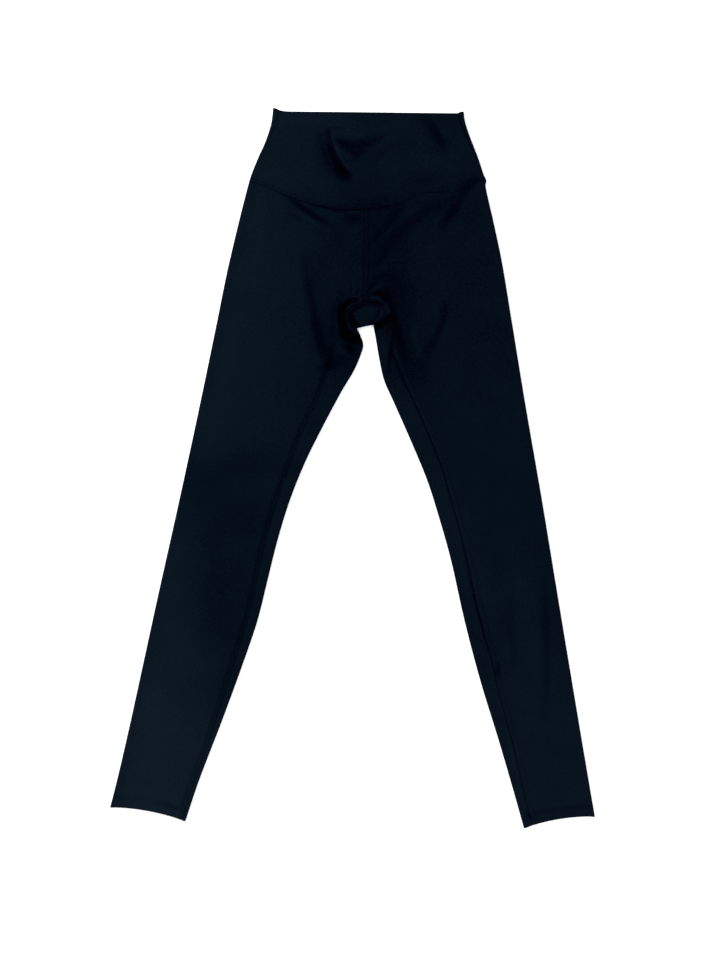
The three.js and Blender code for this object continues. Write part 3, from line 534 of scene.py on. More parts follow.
def lie(x, y):
    """The upper cloth at x, y. Its height is a flat height by place, a lift along folded edges and
    the creases, never less than the walls need; its tone is painted light and shade, in broad patches
    that also hold the nap, along the creases and at the seams."""
    above_seam = y - curve(BAND_SEAM, x)
    above_hem = y - np.where(x < CENTRE_TOP_X, hem_y(HEM_RIGHT, x), hem_y(HEM_LEFT, x))
    leg = mix(SHIN_HEIGHT, HIP_HEIGHT, smooth(SHIN_Y, HIP_Y, y))
    flat = mix(leg, BAND_HEIGHT, smooth(*BAND_RAMP, above_seam))
    height = mix(HEM_HEIGHT, flat, smooth(HEM_DEPTH, 2 * HEM_DEPTH, above_hem))
    lift = np.max([bell(along_chain(chain, x, y)[0], FOLD_REACH) for chain in FOLDS], axis=0)
    crease_height, tone = creased(CREASES, x, y)
    height = height + FOLD_LIFT * lift + crease_height
    wall = mix(LEG_WALL, BAND_WALL, smooth(*BAND_WALL_RAMP, above_seam))
    least = 2 * mix(HEM_WALL, wall, smooth(HEM_DEPTH, 1.5 * HEM_DEPTH, above_hem)) + LAYER_GAP
    over = height - least
    # broad patches of painted light and shade, partly the nap
    for *corners, amount, width in NAP_AND_PAINTED_LIGHT:
        tone += amount * bell(along_chain(arc_points(*corners), x, y)[0], width)
    # painted shade along the waistband's lower seam
    tone -= curve(SEAM_SHADE, x) * bell(above_seam, SEAM_SHADE_REACH)
    # painted shade along the hems' needle rows
    tone -= HEM_SHADE * bell(above_hem - np.mean(HEM_ROWS), HEM_SHADE_REACH)
    return least + (over + np.hypot(over, HEIGHT_EASE)) / 2, np.maximum(tone, DARKEST)


def under(x, y):
    """The lower cloth: flat on the table but for a few shallow creases away from its edges."""
    height, tone = creased(BACK_CREASES, x, y)
    edge = np.min([along_chain(chain, x, y)[0] for chain in FOLDS], axis=0)
    inside = smooth(ROLL, UNDER_FADE, edge)
    return height * inside, tone * inside


def toned_object(name, points, tone, faces, material):
    """Turns points in millimetres, their tones and faces into a smooth object."""
    mesh = bpy.data.meshes.new(name)
    mesh.from_pydata((points.reshape(-1, 3) / 1000).tolist(), [], faces.tolist())
    toned = mesh.attributes.new("tone", "FLOAT", "POINT")
    toned.data.foreach_set("value", tone.ravel().astype(np.float32))
    mesh.shade_smooth()
    mesh.materials.append(material)
    piece = bpy.data.objects.new(name, mesh)
    bpy.context.collection.objects.link(piece)
    return piece


def cloth_object(name, points, tone, faces, thickness):
    """A piece of jersey whose outer face lies on the points, with its wall on the inner side."""
    piece = toned_object(name, points, tone, faces, jersey)
    wall = piece.modifiers.new("wall", "SOLIDIFY")
    wall.thickness = thickness / 1000
    wall.offset = -1
    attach(piece, "root")
    return piece


def numbered(points, first=0):
    """The vertex numbers of a grid of points."""
    return first + np.arange(points.shape[0] * points.shape[1]).reshape(points.shape[:2])


def quads(index):
    """The four-cornered faces of a grid of vertex numbers."""
    a, b = index[:-1, :-1], index[:-1, 1:]
    d, c = index[1:, :-1], index[1:, 1:]
    return np.stack([a, d, c, b], axis=-1).reshape(-1, 4)


def turn_over(edge_x, edge_y, out_x, out_y, steps):
    """A folded edge: half an ellipse from the underside up to the upper cloth, ROLL deep."""
    from_x, from_y = edge_x - out_x * ROLL, edge_y - out_y * ROLL
    height, tone = lie(from_x, from_y)
    half = height[:, None] / 2
    turn = np.linspace(-np.pi / 2, np.pi / 2, steps + 1)[None, :]
    x = from_x[:, None] + out_x[:, None] * ROLL * np.cos(turn)
    y = from_y[:, None] + out_y[:, None] * ROLL * np.cos(turn)
    z = half + half * np.sin(turn)
    return np.stack([x, y, z], axis=-1), np.repeat(tone[:, None], steps + 1, axis=1)


# Waistband: front and back in doubled jersey, joined by two side seams that have rolled a few
# millimetres onto the front. Its top edge is a fold of the cloth.
BAND_CLOTH = 1.6
SIDE_SEAM = (7, 3.4)
SIDE_SEAM_BEND = 0.6
SEAM_SHOWN = {-1: (0.2, 0.42), 1: (0.45, 0.7)}
BACK_PEEK = 0.5
BAND_TOP_ROUND = 1.4
BAND_SEAM_ROUND = 0.55
CENTRE_BACK_X = 9
BACK_SEAM_GAP = 0.02
CENTRE_BACK_TOP = float(curve(BAND_SEAM, CENTRE_TOP_X))
BAND_DEEP = 125
SIDE_GUESS = (-120, 155)
EDGE_ROUNDS = 8
# Painted shade along the side seams: how dark and how wide
SIDE_SEAM_SHADE, SIDE_SEAM_REACH = -0.7, 1.1
FRONT_ROWS, FRONT_COLUMNS = 84, 220
BACK_ROWS, BACK_COLUMNS = 40, 101
SIDE_ROLL_COLUMNS, SIDE_COLUMNS = 8, 6


def band_rows(count):
    """Shares of the way down the waistband, closer together at its rounded top edge."""
    top_edge = [0, 0.002, 0.005, 0.009, 0.014, 0.02]
    return np.concatenate([top_edge, np.linspace(0.028, 1, count)])[:, None]


def band_y(x, v, peek=0.0):
    """From the waist's edge, raised by the peek, down to the lower seam."""
    return mix(waist_y(x) + peek, curve(BAND_SEAM, x) + SEAM_GAP, v)


def band_sides(v):
    """Both folded sides, found on the outline at the band's own slant, and the seams' way in."""
    right, left = (np.full_like(v, guess) for guess in SIDE_GUESS)
    for _ in range(EDGE_ROUNDS):
        right, left = curve(OUTER_RIGHT, band_y(right, v)), curve(OUTER_LEFT, band_y(left, v))
    return right, left, mix(*SIDE_SEAM, smooth(0, SIDE_SEAM_BEND, v))


def rounded_edge(d, radius):
    """How far a rounded edge has dropped at distance d in from the edge."""
    e = np.clip(1 - d / radius, 0, 1)
    return radius * (1 - np.sqrt(1 - e * e))


def seamed_tone(x, y, v):
    """Painted shade: dark lines along the side seams, which run out of sight lower down, and a darker
    line along the needle row above the waistband's lower seam."""
    right, left, seam_in = band_sides(v)
    lines = bell(x - right - seam_in, SIDE_SEAM_REACH) * (1 - smooth(*SEAM_SHOWN[-1], v))
    lines = lines + bell(left - seam_in - x, SIDE_SEAM_REACH) * (1 - smooth(*SEAM_SHOWN[1], v))
    row_line = bell(y - curve(BAND_SEAM, x) - BAND_ROW, ROW_SHADE_REACH)
    return SIDE_SEAM_SHADE * lines - curve(ROW_SHADE, x) * row_line


def make_band_front():
    """Across from seam to seam and down from waist to lower seam; z is the upper cloth's height."""
    v = band_rows(FRONT_ROWS)
    right, left, seam_in = band_sides(v)
    x = mix(right + seam_in, left - seam_in, np.linspace(0, 1, FRONT_COLUMNS)[None, :])
    y = band_y(x, v)
    z, tone = lie(x, y)
    z = z - rounded_edge(waist_y(x) - y, BAND_TOP_ROUND)
    z = z - rounded_edge(band_y(x, v) - band_y(x, 1), BAND_SEAM_ROUND)
    tone = tone + seamed_tone(x, y, v)
    points = np.stack([x, y, z], axis=-1)
    faces = quads(numbered(points))
    piece = cloth_object("waistband_front_cloth", points, tone, faces, BAND_CLOTH)
    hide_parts("waistband_front")
    return points


def make_band_back():
    """The back: from the side seam round the folded side, under to the other side, and up again.
    Its lower seam runs in two straight lines from the side seams to the centre back."""
    v = band_rows(BACK_ROWS)
    right, left, seam_in = band_sides(v)
    one, none = np.ones(len(v)), np.zeros(len(v))

    def side(edge, way):
        edge_y = band_y(edge, v, BACK_PEEK)
        turned, turned_tone = turn_over(
            edge[:, 0], edge_y[:, 0], way * one, none, SIDE_ROLL_COLUMNS
        )
        inwards = np.linspace(0, 1, SIDE_COLUMNS)[None, 1:]
        x = edge - way * mix(ROLL, seam_in - SEAM_GAP, inwards)
        y = band_y(x, v, BACK_PEEK)
        z, tone = lie(x, y)
        tone = tone + seamed_tone(x, y, v)
        flat = np.stack([x, y, z], axis=-1)
        return np.concatenate([turned, flat], axis=1), np.concatenate([turned_tone, tone], axis=1)

    low, low_tone = side(right, -1)
    high, high_tone = side(left, 1)
    x = mix(low[:, :1, 0], high[:, :1, 0], np.linspace(0, 1, BACK_COLUMNS)[None, 1:-1])

    def seam_line(outline, end_y):
        end_x = float(curve(outline, end_y))
        return mix(end_y, CENTRE_BACK_TOP, (x - end_x) / (CENTRE_BACK_X - end_x))

    right_seam = seam_line(OUTER_RIGHT, SIDE_SEAM_END[-1])
    left_seam = seam_line(OUTER_LEFT, SIDE_SEAM_END[1])
    seam = np.where(x < CENTRE_BACK_X, right_seam, left_seam) + BACK_SEAM_GAP
    y = mix(waist_y(x) + BACK_PEEK, seam, v)
    z, tone = under(x, y)
    points = np.concatenate([low[:, ::-1], np.stack([x, y, z], axis=-1), high], axis=1)[:, ::-1]
    tone = np.concatenate([low_tone[:, ::-1], tone, high_tone], axis=1)[:, ::-1]
    faces = quads(numbered(points))
    piece = cloth_object("waistband_back_cloth", points, tone, faces, BAND_CLOTH)
    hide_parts("waistband_back")
    return points


band_front = make_band_front()
band_back = make_band_back()

# Legs: one piece of jersey each, from the centre-front seam and the inseam round the outer fold
# to the back, and round the inner fold up to the inseam. The seams lie as flat raised strips.
LEG_CLOTH = 1.0
LEG_LONG = 815
GUSSET_FRONT = (12.9, 216.5)
GUSSET_BACK = (10.5, 242)
GUSSET_BACK_HALF = 1.6
RIM_BULGE = {-1: 2.5, 1: 3.2}
SIDE_BULGE = {-1: 0, 1: 5}
STRIP_WIDTH = 7.0
STRIP_RAISE = 0.55
STRIP_UP = 0.9
STRIP_DOWN = (STRIP_WIDTH - 1.1, STRIP_WIDTH + 0.5)
FACE_IN = 1.2
SEAM_LINE = 0.9
EDGE_LINE_IN, EDGE_LINE = 0.4, 0.8
STRIP_HIDDEN = (150, 170)
# Tones of a seam strip (face, seam, edge); the seam and edge lines are painted shade at its steps
CENTRE_STRIP = (-0.45, -0.2, -0.15)
STRIP_ENDS = (4, 14)
FLAP_REACH = 1.6
HEM_ROUND = 0.9
WAIST_SHARE = 0.16
HEM_SHARE = 0.9
CROWDING = 0.38
EASE_SHARE = 0.03
TOP_COLUMNS, UNDER_COLUMNS, FLAP_COLUMNS, ROLL_COLUMNS = 92, 30, 19, 10
SEAM_STEPS = np.array([0, 0.3, 0.6, 0.9, 1.4, 2.2, 3.2, 4.2, 5.2, 5.8, 6.3, 6.7, 7.1, 7.6, 8.6, 10])


def strip_relief(d):
    """A flat raised seam strip: up at the seam, level across, down again over its stitched edge."""
    return STRIP_RAISE * smooth(0, STRIP_UP, d) * (1 - smooth(*STRIP_DOWN, d))


def strip_tone(d, face, seam, edge):
    """A seam strip's tones: of its face, and the painted shade of the line at the seam and of its
    stitched edge, where the strip steps up and down.
    """
    across = smooth(0, FACE_IN, d) * (1 - smooth(STRIP_WIDTH - FACE_IN, STRIP_WIDTH, d))
    edge_line = bell(d - STRIP_WIDTH + EDGE_LINE_IN, EDGE_LINE)
    return face * across + seam * bell(d, SEAM_LINE) + edge * edge_line


def unit(x, y):
    long = np.hypot(x, y)
    return x / long, y / long


def gusset_rim(side, corner, t):
    """The gusset's upper edge from the centre-front seam out to its corner, bowed upwards."""
    bulge = RIM_BULGE[side] * 4 * t * (1 - t)
    return mix(GUSSET_FRONT[0], corner[0], t), mix(GUSSET_FRONT[1], corner[1], t) + bulge


class Leg:
    """One leg's lines in plan. A share s runs down it, 0 at the waist seam and 1 at the hem."""

    def __init__(self, side, outer, inner, inset, hem, corner, crotch, corner_drop, strip, flap_shade):
        self.side, self.outer, self.inner, self.inset, self.hem = side, outer, inner, inset, hem
        self.outer_top, self.corner, self.crotch = SIDE_SEAM_END[side], corner, crotch
        self.crotch_way = unit(crotch[0] - corner[0], crotch[1] - corner[1])
        self.strip, self.flap_shade = strip, flap_shade
        self.centre = CENTRE_TOP_X + side * SEAM_GAP / 2
        self.centre_top = float(curve(BAND_SEAM, self.centre))
        self.back_mark = self.share(GUSSET_BACK[1])
        self.front_mark = self.share(GUSSET_FRONT[1])
        self.turn_mark = self.share(corner[1] - corner_drop)
        self.fork_mark = self.share(crotch[1])

    def share(self, y):
        return (self.centre_top - y) / (self.centre_top - self.hem["inner"][1])

    def inseam_x(self, y):
        return curve(self.inner, y) + self.side * curve(self.inset, y)

    def outer_edge(self, s):
        y = mix(self.outer_top, self.hem["outer"][1], s)
        return curve(self.outer, y), y

    def front_edge(self, s):
        """Down the centre-front seam, out along the gusset's rim, then down the inseam."""
        s = np.asarray(s, float)
        rim_share = (s - self.front_mark) / (self.turn_mark - self.front_mark)
        rim_x, rim_y = gusset_rim(self.side, self.corner, np.clip(rim_share, 0, 1))
        inseam_top = self.inset[0][0]
        hem_low = float(hem_y(self.hem, self.inseam_x(self.hem["inner"][1])))
        low_y = mix(self.corner[1], hem_low, (s - self.turn_mark) / (1 - self.turn_mark))
        lean = (low_y - inseam_top) / (self.corner[1] - inseam_top)
        lean_x = mix(float(self.inseam_x(inseam_top)), self.corner[0], lean)
        low_x = np.where(low_y > inseam_top, lean_x, self.inseam_x(low_y))
        above = s <= self.front_mark
        tip_x = GUSSET_FRONT[0] + self.side * SEAM_GAP / 2
        x_above = mix(self.centre, tip_x, s / self.front_mark)
        x = np.where(above, x_above, np.where(s <= self.turn_mark, rim_x, low_x))
        y_above = mix(self.centre_top, GUSSET_FRONT[1], s / self.front_mark)
        return x, np.where(above, y_above, np.where(s <= self.turn_mark, rim_y, low_y))

    def back_edge(self, s):
        """Down the centre-back seam, out along the gusset's back edge, then down the inner fold."""
        s = np.asarray(s, float)
        back_x = GUSSET_BACK[0] + self.side * GUSSET_BACK_HALF
        end = [c - way * ROLL for c, way in zip(self.crotch, self.crotch_way)]
        t = s / self.back_mark
        u = (s - self.back_mark) / (self.fork_mark - self.back_mark)
        low = mix(self.crotch[1], self.hem["inner"][1], (s - self.fork_mark) / (1 - self.fork_mark))
        above, beside = s <= self.back_mark, s < self.fork_mark
        top_x = CENTRE_BACK_X + self.side * SEAM_GAP / 2
        low_x = np.where(beside, mix(back_x, end[0], u), curve(self.inner, low))
        low_y = np.where(beside, mix(GUSSET_BACK[1], end[1], u), low)
        y_above = mix(self.centre_top, GUSSET_BACK[1], t)
        return np.where(above, mix(top_x, back_x, t), low_x), np.where(above, y_above, low_y)

    def waist_bend(self, s, t):
        """What the waist seam's curve adds to y, on a line from the outer edge to the centre."""
        x0, y0 = self.outer_edge(0.0)
        x = mix(x0, self.centre, t)
        return (curve(BAND_SEAM, x) - mix(y0, self.centre_top, t)) * (1 - smooth(0, WAIST_SHARE, s))

    def hem_bend(self, s, t, start, end):
        """What the hem's bow adds to y, on a line from one edge (t = 0) to another."""
        (x0, y0), (x1, y1) = start(1.0), end(1.0)
        return (hem_y(self.hem, mix(x0, x1, t)) - mix(y0, y1, t)) * smooth(HEM_SHARE, 1, s)

    def rings(self):
        """Shares of the rings down a leg: 1.5 mm apart to the crotch and wider below. Each stop is
        a share and how many rings lead to it."""
        stops = [
            (0, 0), (0.001, 1), (self.back_mark, 58), (self.front_mark, 18), (self.turn_mark, 10),
            (self.fork_mark, 14), (0.32, 52), (0.6, 44), (1 - (HEM_DEPTH + 8) / LEG_LONG, 50), (1, 22),
        ]
        parts = [np.linspace(a, b, n + 1)[1:] for (a, _), (b, n) in zip(stops, stops[1:])]
        return np.concatenate([[0], *parts])


def make_leg(leg, name, node):
    """Rings joined from the front seam over the outer fold to the back, then round the inner fold
    to the inseam again. Gives the two grids of points and the rings' shares, for the stitching."""
    s = leg.rings()
    down = s[:, None]
    fork_ring = int(np.argmin(abs(s - leg.fork_mark)))
    ox, oy = leg.outer_edge(s)
    fx, fy = leg.front_edge(s)
    bx, by = leg.back_edge(s)
    out_x, out_y = unit(ox - bx, oy - by)

    across = np.hypot(fx - ox, fy - oy)[:, None]
    near = 1 - SEAM_STEPS[None, :] / across
    w = np.linspace(0, 1, TOP_COLUMNS)[None, 1:-1]
    rest = mix(near[:, -1:], ROLL / across, w * (1 - CROWDING + CROWDING * w))
    t = np.concatenate([near, rest], axis=1)
    x = mix(ox[:, None], fx[:, None], t)
    y = mix(oy[:, None], fy[:, None], t)
    y = y + leg.waist_bend(down, t) + leg.hem_bend(down, t, leg.outer_edge, leg.front_edge)
    z, tone = lie(x, y)
    seam_distance = (1 - t) * across
    on_centre = (down <= leg.front_mark) & (leg.side > 0)
    stripped = np.where(on_centre, 1, (down >= leg.turn_mark) * (1 - smooth(*STRIP_HIDDEN, y)))
    z = z + stripped * strip_relief(seam_distance)
    above_hem = y - hem_y(leg.hem, x)
    z = z - rounded_edge(np.maximum(above_hem, 0), HEM_ROUND)
    strip = [np.where(on_centre, centre, own) for centre, own in zip(CENTRE_STRIP, leg.strip)]
    tone = tone + stripped * strip_tone(seam_distance, *strip) * smooth(*STRIP_ENDS, above_hem)
    top = np.stack([x, y, z], axis=-1)

    outer, outer_tone = turn_over(ox, oy, out_x, out_y, ROLL_COLUMNS)
    in_x, in_y = unit(bx - ox, by - oy)
    ease = smooth(0, EASE_SHARE, s - leg.fork_mark)
    in_x, in_y = unit(mix(leg.crotch_way[0], in_x, ease), mix(leg.crotch_way[1], in_y, ease))
    forked = np.arange(len(s)) >= fork_ring
    end_x = np.where(forked, bx - in_x * ROLL, bx)
    end_y = np.where(forked, by - in_y * ROLL, by)
    w = np.linspace(0, 1, UNDER_COLUMNS)[None, 1:]
    ux = mix((ox - out_x * ROLL)[:, None], end_x[:, None], w)
    uy = mix((oy - out_y * ROLL)[:, None], end_y[:, None], w)
    uy[:, :-1] += leg.hem_bend(down, w[:, :-1], leg.outer_edge, leg.back_edge)
    uz, under_tone = under(ux, uy)
    body = np.concatenate([top, outer[:, ::-1], np.stack([ux, uy, uz], axis=-1)], axis=1)
    body_tone = np.concatenate([tone, outer_tone[:, ::-1], under_tone], axis=1)

    ring = np.arange(fork_ring, len(s))
    inner, inner_tone = turn_over(bx[ring], by[ring], in_x[ring], in_y[ring], ROLL_COLUMNS)
    eased = s[fork_ring] + EASE_SHARE
    sx, sy = leg.front_edge(np.interp(s[ring], [s[fork_ring], eased, 1], [leg.turn_mark, eased, 1]))
    start_x, start_y = inner[:, -1, 0], inner[:, -1, 1]
    gap = SEAM_GAP / np.hypot(sx - start_x, sy - start_y)
    w = np.linspace(0, 1, FLAP_COLUMNS)[None, 1:]
    px = mix(start_x[:, None], mix(sx, start_x, gap)[:, None], w)
    py = mix(start_y[:, None], mix(sy, start_y, gap)[:, None], w)
    bulge = SIDE_BULGE[leg.side] * 4 * w * (1 - w)
    px = px + bulge * (1 - smooth(0, EASE_SHARE, down[ring] - leg.fork_mark))
    py = py + leg.hem_bend(down[ring], w, leg.back_edge, leg.front_edge)
    pz, flap_tone = lie(px, py)
    pz = pz - rounded_edge(np.maximum(py - hem_y(leg.hem, px), 0), HEM_ROUND)
    to_seam = np.hypot(px[:, -1:] - px, py[:, -1:] - py)
    # painted shade on the flap beside the raised seam strip
    flap_tone = flap_tone + leg.flap_shade * bell(to_seam, FLAP_REACH) * (1 - smooth(*STRIP_HIDDEN, py))
    flap = np.concatenate([inner[:, 1:], np.stack([px, py, pz], axis=-1)], axis=1)
    flap_tone = np.concatenate([inner_tone[:, 1:], flap_tone], axis=1)

    index = numbered(body)
    extra = np.concatenate([index[ring, -1:], numbered(flap, body[..., 0].size)], axis=1)
    faces = np.concatenate([quads(index), quads(extra)])
    if leg.side < 0:
        faces = faces[:, ::-1]
    points = np.concatenate([body.reshape(-1, 3), flap.reshape(-1, 3)])
    tones = np.concatenate([body_tone.ravel(), flap_tone.ravel()])
    piece = cloth_object(name, points, tones, faces, LEG_CLOTH)
    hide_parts(node)
    return dict(leg=leg, s=s, body=body, flap=flap, fork=fork_ring)


leg_right = make_leg(
    Leg(-1, OUTER_RIGHT, INNER_RIGHT, INSEAM_RIGHT, HEM_RIGHT, corner=(-11.5, 202.5),
        crotch=(5.5, 181.5), corner_drop=0, strip=(-0.45, -0.1, -0.55), flap_shade=-0.3),
    "leg_right_cloth", "leg_right",
)
leg_left = make_leg(
    Leg(1, OUTER_LEFT, INNER_LEFT, INSEAM_LEFT, HEM_LEFT, corner=(39.5, 211),
        crotch=(26.5, 186), corner_drop=4, strip=(-0.1, -0.9, -0.15), flap_shade=-0.7),
    "leg_left_cloth", "leg_left",
)


# Gusset: a small four-sided piece set in below the centre-front seam and folded over the crotch,
# with its rims stitched down in two rows.
GUSSET_WIDE = 50
CROTCH_BOW = 0.5
# Shares of the gusset's width: its middle, its right half and its left side with the rows there
MIDDLE_FROM = 0.35
RIGHT_HALF = (0.3, 0.6)
LEFT_SIDE, LEFT_ROWS = (0.5, 0.8), (0.1, 0.25)
# How deep and how dark the painted shade along the stitched rims is, wider and darker on the right half
RIM_HEM = (5.2, 7.0)
RIM_SHADE = (0.85, 1.2)
RIM_WIDER = (1, 1.5)
RIGHT_WIDER = 1.3
LEFT_FACE, LEFT_FACE_EDGE = 1.1, (4.8, 6.4)
LEFT_LINE, LEFT_LINE_IN, LEFT_LINE_REACH = 0.25, 6.2, 0.8
GUSSET_COLUMNS, GUSSET_ROWS, GUSSET_BACK_ROWS = 49, 37, 19


def make_gusset():
    """From the front rim down to the crotch, round the fold, and back under to a blunt point."""
    u = np.linspace(0, 1, GUSSET_COLUMNS)
    right, left = leg_right["leg"], leg_left["leg"]
    right_rim = gusset_rim(-1, right.corner, np.clip(1 - 2 * u, 0, 1))
    left_rim = gusset_rim(1, left.corner, np.clip(2 * u - 1, 0, 1))
    first = u < 0.5
    wide = GUSSET_WIDE * np.stack([u, 1 - u])
    front_x, front_y = (np.where(first, right_rim[k], left_rim[k]) for k in (0, 1))
    crotch_x = mix(right.crotch[0], left.crotch[0], u)
    crotch_y = mix(right.crotch[1], left.crotch[1], u) + CROTCH_BOW * 4 * u * (1 - u)
    back_x = GUSSET_BACK[0] + mix(-1, 1, u) * GUSSET_BACK_HALF
    way_x, way_y = (np.where(first, right.crotch_way[k], left.crotch_way[k]) for k in (0, 1))
    middle = smooth(0, MIDDLE_FROM, np.minimum(u, 1 - u))
    out_x, out_y = unit(mix(way_x, 0, middle), mix(way_y, -1, middle))
    from_x, from_y = crotch_x - out_x * ROLL, crotch_y - out_y * ROLL
    t = np.linspace(0, 1, GUSSET_ROWS)[:-1, None]
    x = mix(front_x, from_x, t) + SIDE_BULGE[1] * 4 * t * (1 - t) * smooth(0.5, 1, u)
    y = mix(front_y, from_y, t)
    z, tone = lie(x, y)
    from_rim = t * np.hypot(front_x - from_x, front_y - from_y)
    right_half = 1 - smooth(*RIGHT_HALF, u)
    hemmed = np.minimum(from_rim / mix(*RIM_WIDER, right_half), wide[0] / RIGHT_WIDER)
    hemmed = np.minimum(hemmed, wide[1])
    # painted shade along the stitched rims
    tone = tone - mix(*RIM_SHADE, right_half) * (1 - smooth(*RIM_HEM, hemmed))
    left_side = smooth(*LEFT_ROWS, t) * smooth(*LEFT_SIDE, u)
    face = LEFT_FACE * (1 - smooth(*LEFT_FACE_EDGE, wide[1]))
    tone = tone + left_side * (face - LEFT_LINE * bell(wide[1] - LEFT_LINE_IN, LEFT_LINE_REACH))
    rolled, rolled_tone = turn_over(crotch_x, crotch_y, out_x, out_y, ROLL_COLUMNS)
    w = np.linspace(0, 1, GUSSET_BACK_ROWS)[1:, None]
    bx, by = mix(from_x, back_x, w), mix(from_y, GUSSET_BACK[1], w)
    back = np.stack([bx, by, np.zeros_like(bx)], axis=-1)
    points = np.concatenate([np.stack([x, y, z], axis=-1), rolled[:, ::-1].transpose(1, 0, 2), back])
    tone = np.concatenate([tone, rolled_tone.T, np.zeros_like(bx)])
    for rim, beside in ((0, 1), (-1, -2)):
        for grid in (points.transpose(1, 0, 2), points):
            far = grid[beside] - grid[rim]
            grid[rim] += far * np.minimum(SEAM_GAP / np.linalg.norm(far, axis=-1), 0.5)[:, None]
    piece = cloth_object("gusset_cloth", points, tone, quads(numbered(points)), LEG_CLOTH)
    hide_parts("gusset")
    return points


gusset = make_gusset()

# Stitching: a coverstitch in polyester thread of the cloth's own navy holds every seam flat. Two
# needle rows show as short slanting stitches, and on some seams the looper thread zigzags between.
STITCH_PITCH = 3.9
STITCH_LONG = 3.0
STITCH_SHIFT = 0.08
STITCH_SHARES = (0.88, 1.1)
THREAD_WIDE = 0.75
THREAD_RISE = 0.22
THREAD_SUNK = 0.1
THREAD_FLAT = 0.8
THREAD_UNDER = -0.12
STRIP_LINES = (1.5, STRIP_WIDTH - 1.3)
# Columns and rows of the grids that the waistband's and the gusset's needle rows follow
BAND_SIDE_COLUMN, BAND_FROM_ROW = 1.2, 8
GUSSET_RIM_ROWS = (1.2, 4.6)
GUSSET_SIDE_COLUMN, GUSSET_FROM_ROW = 1.4, 2
# Rings of a stitch: the share of its half length and the share of its thickness
STITCH_RINGS = ((-0.62, 0.8), (0, 1), (0.62, 0.8))
STITCH_SIDES = 6
chance = np.random.default_rng(11)


def surface_normals(points, facing):
    """Unit normals of a grid of points, turned to face outwards."""
    normal = np.cross(np.gradient(points, axis=1), np.gradient(points, axis=0)) * facing
    return normal / np.maximum(np.linalg.norm(normal, axis=-1, keepdims=True), 1e-9)


def line_on(points, facing, column=None, row=None):
    """A line over a grid at a broken column or row number: its points and the normals there."""
    both = np.concatenate([points, surface_normals(points, facing)], axis=-1)
    if row is not None:
        both, column = both.transpose(1, 0, 2), row
    i = min(int(column), both.shape[1] - 2)
    return mix(both[:, i], both[:, i + 1], column - i)


def walk(line, at):
    """The points and normals of a line at distances along it."""
    along = np.concatenate([[0], np.cumsum(np.linalg.norm(np.diff(line[:, :3], axis=0), axis=1))])
    return np.stack([np.interp(at, along, line[:, k]) for k in range(6)], axis=-1)


def length_of(line):
    return float(np.linalg.norm(np.diff(line[:, :3], axis=0), axis=1).sum())


def needle_row(line):
    """Ends and normals of the stitches of one needle row, each a little longer or shorter."""
    count = int(length_of(line) / STITCH_PITCH)
    shift = chance.uniform(-STITCH_SHIFT, STITCH_SHIFT, count)
    middle = (np.arange(count) + 0.5 + shift) * length_of(line) / count
    half = STITCH_LONG / 2 * chance.uniform(*STITCH_SHARES, count)
    return walk(line, middle - half), walk(line, middle + half)


def looper_zigzag(line_a, line_b):
    """Ends and normals of a thread that crosses from one needle row to the other and back."""
    count = int(length_of(line_a) / STITCH_PITCH)
    step = np.arange(count) / count
    a = walk(line_a, step * length_of(line_a))
    a_next = walk(line_a, (step + 1 / count) * length_of(line_a))
    b = walk(line_b, (step + 0.5 / count) * length_of(line_b))
    return np.concatenate([a, b]), np.concatenate([b, a_next])


def make_stitches(name, parts, lighter=0.0):
    """Joins all stitches of a seam in one mesh: each is a short thread from one end to the other,
    round in section, thickest and highest in the middle and closed to a point at both ends. Those
    under the garment are pressed flat by its weight."""
    start, end = (np.concatenate(ends) for ends in zip(*parts))
    middle, half = (start[:, :3] + end[:, :3]) / 2, (end[:, :3] - start[:, :3]) / 2
    along = half / np.linalg.norm(half, axis=1, keepdims=True)
    up = start[:, 3:] + end[:, 3:]
    up = up - along * (up * along).sum(axis=1, keepdims=True)
    up = up / np.linalg.norm(up, axis=1, keepdims=True)
    beside = np.cross(along, up)
    turn = np.linspace(0, 2 * np.pi, STITCH_SIDES, endpoint=False)
    radius = THREAD_WIDE / 2
    template = [(-1, 0, -radius)]
    for share, size in STITCH_RINGS:
        rise = THREAD_RISE * (1 - share * share) - THREAD_SUNK
        round_x, round_z = radius * size * np.cos(turn), radius * size * THREAD_FLAT * np.sin(turn)
        template += [(share, x, z + rise) for x, z in zip(round_x, round_z)]
    template.append((1, 0, -radius))
    template = np.array(template)
    points = (
        middle[:, None] + half[:, None] * template[None, :, :1]
        + beside[:, None] * template[None, :, 1:2] + up[:, None] * template[None, :, 2:]
    )
    points[..., 2] = np.maximum(points[..., 2], THREAD_UNDER)
    n = STITCH_SIDES
    last = 1 + n * len(STITCH_RINGS)
    faces = []
    for k in range(n):
        after = (k + 1) % n
        faces.append((0, 1 + after, 1 + k))
        faces.append((last, last - n + k, last - n + after))
        for ring in range(len(STITCH_RINGS) - 1):
            a = 1 + ring * n
            faces += [(a + k, a + after, a + n + after), (a + k, a + n + after, a + n + k)]
    shift = np.arange(len(points))[:, None, None] * len(template)
    faces = (np.array(faces)[None] + shift).reshape(-1, 3)
    # each stitch takes the cloth's painted light and shade at its middle, plus its own lightening
    tone = np.repeat(lie(middle[:, 0], middle[:, 1])[1] + lighter, len(template))
    piece = toned_object(name, points, tone, faces, thread)
    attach(piece, "root")


def strip_lines(made, first, last):
    """The two needle lines along a leg's seam strip, between two of its rings."""
    columns = np.interp(STRIP_LINES, SEAM_STEPS, np.arange(len(SEAM_STEPS)))
    facing = -made["leg"].side
    return [line_on(made["body"][first:last], facing, column=c) for c in columns]


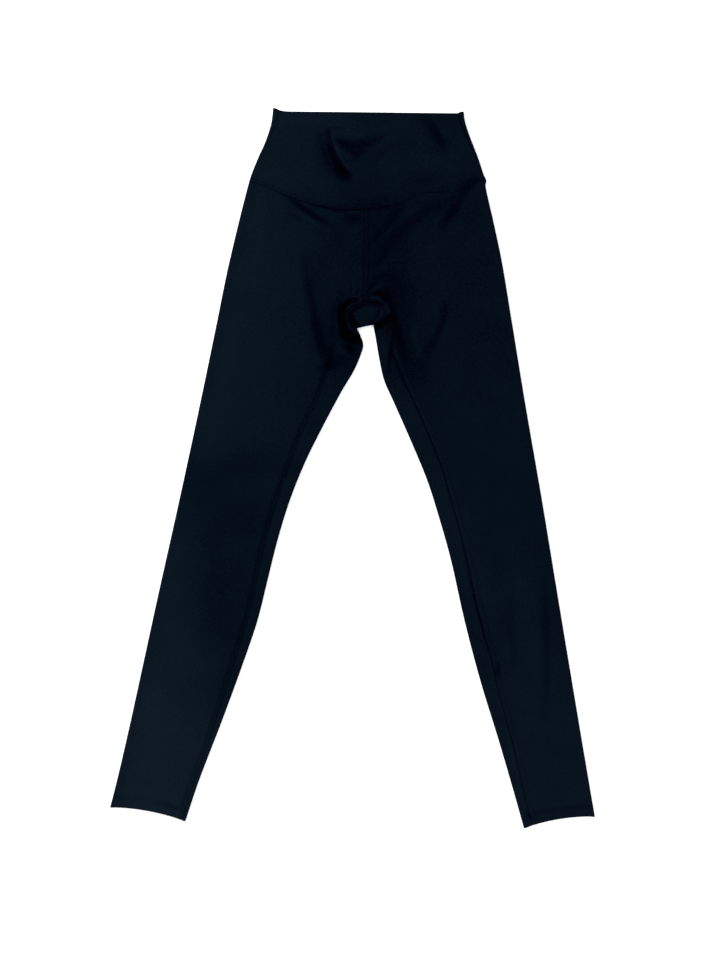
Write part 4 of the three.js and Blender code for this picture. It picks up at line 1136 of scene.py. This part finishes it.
def ring_at(made, mark):
    return int(np.argmin(abs(made["s"] - mark)))


seam_rows = []
for band, count in ((band_front, FRONT_ROWS), (band_back, BACK_ROWS)):
    row = np.interp(1 - BAND_ROW / BAND_DEEP, band_rows(count)[:, 0], np.arange(len(band)))
    seam_rows.append(needle_row(line_on(band, 1, row=row)))
make_stitches("waistband_seam_thread", seam_rows)
band_columns = BAND_SIDE_COLUMN, FRONT_COLUMNS - 1 - BAND_SIDE_COLUMN
make_stitches("waistband_side_thread", [
    needle_row(line_on(band_front[BAND_FROM_ROW:], 1, column=c)) for c in band_columns
])

first, last = 0, ring_at(leg_left, leg_left["leg"].front_mark)
centre_lines = strip_lines(leg_left, first, last)
make_stitches("centre_front_thread", [*map(needle_row, centre_lines), looper_zigzag(*centre_lines)])

for made, name, zigzag, lighter in (
    (leg_right, "inseam_right_thread", False, 0.0), (leg_left, "inseam_left_thread", True, 0.25),
):
    shown = int(np.argmax(made["body"][:, 0, 1] < np.mean(STRIP_HIDDEN)))
    lines = strip_lines(made, shown, len(made["s"]))
    parts = [needle_row(line) for line in lines]
    if zigzag:
        parts.append(looper_zigzag(*lines))
    make_stitches(name, parts, lighter)

for made, name in ((leg_right, "hem_right_thread"), (leg_left, "hem_left_thread")):
    parts = []
    for height in HEM_ROWS:
        at = np.interp(1 - height / LEG_LONG, made["s"], np.arange(len(made["s"])))
        facing = -made["leg"].side
        around = line_on(made["body"], facing, row=at)
        flap = line_on(made["flap"], facing, row=at - made["fork"])
        parts.append(needle_row(np.concatenate([around, flap])))
    make_stitches(name, parts)

gusset_columns = GUSSET_SIDE_COLUMN, GUSSET_COLUMNS - 1 - GUSSET_SIDE_COLUMN
rim_lines = [line_on(gusset[:GUSSET_ROWS], 1, row=r) for r in GUSSET_RIM_ROWS]
gusset_side = gusset[GUSSET_FROM_ROW:GUSSET_ROWS - 1]
side_lines = [line_on(gusset_side, 1, column=c) for c in gusset_columns]
make_stitches("gusset_thread", [needle_row(line) for line in (*rim_lines, *side_lines)])
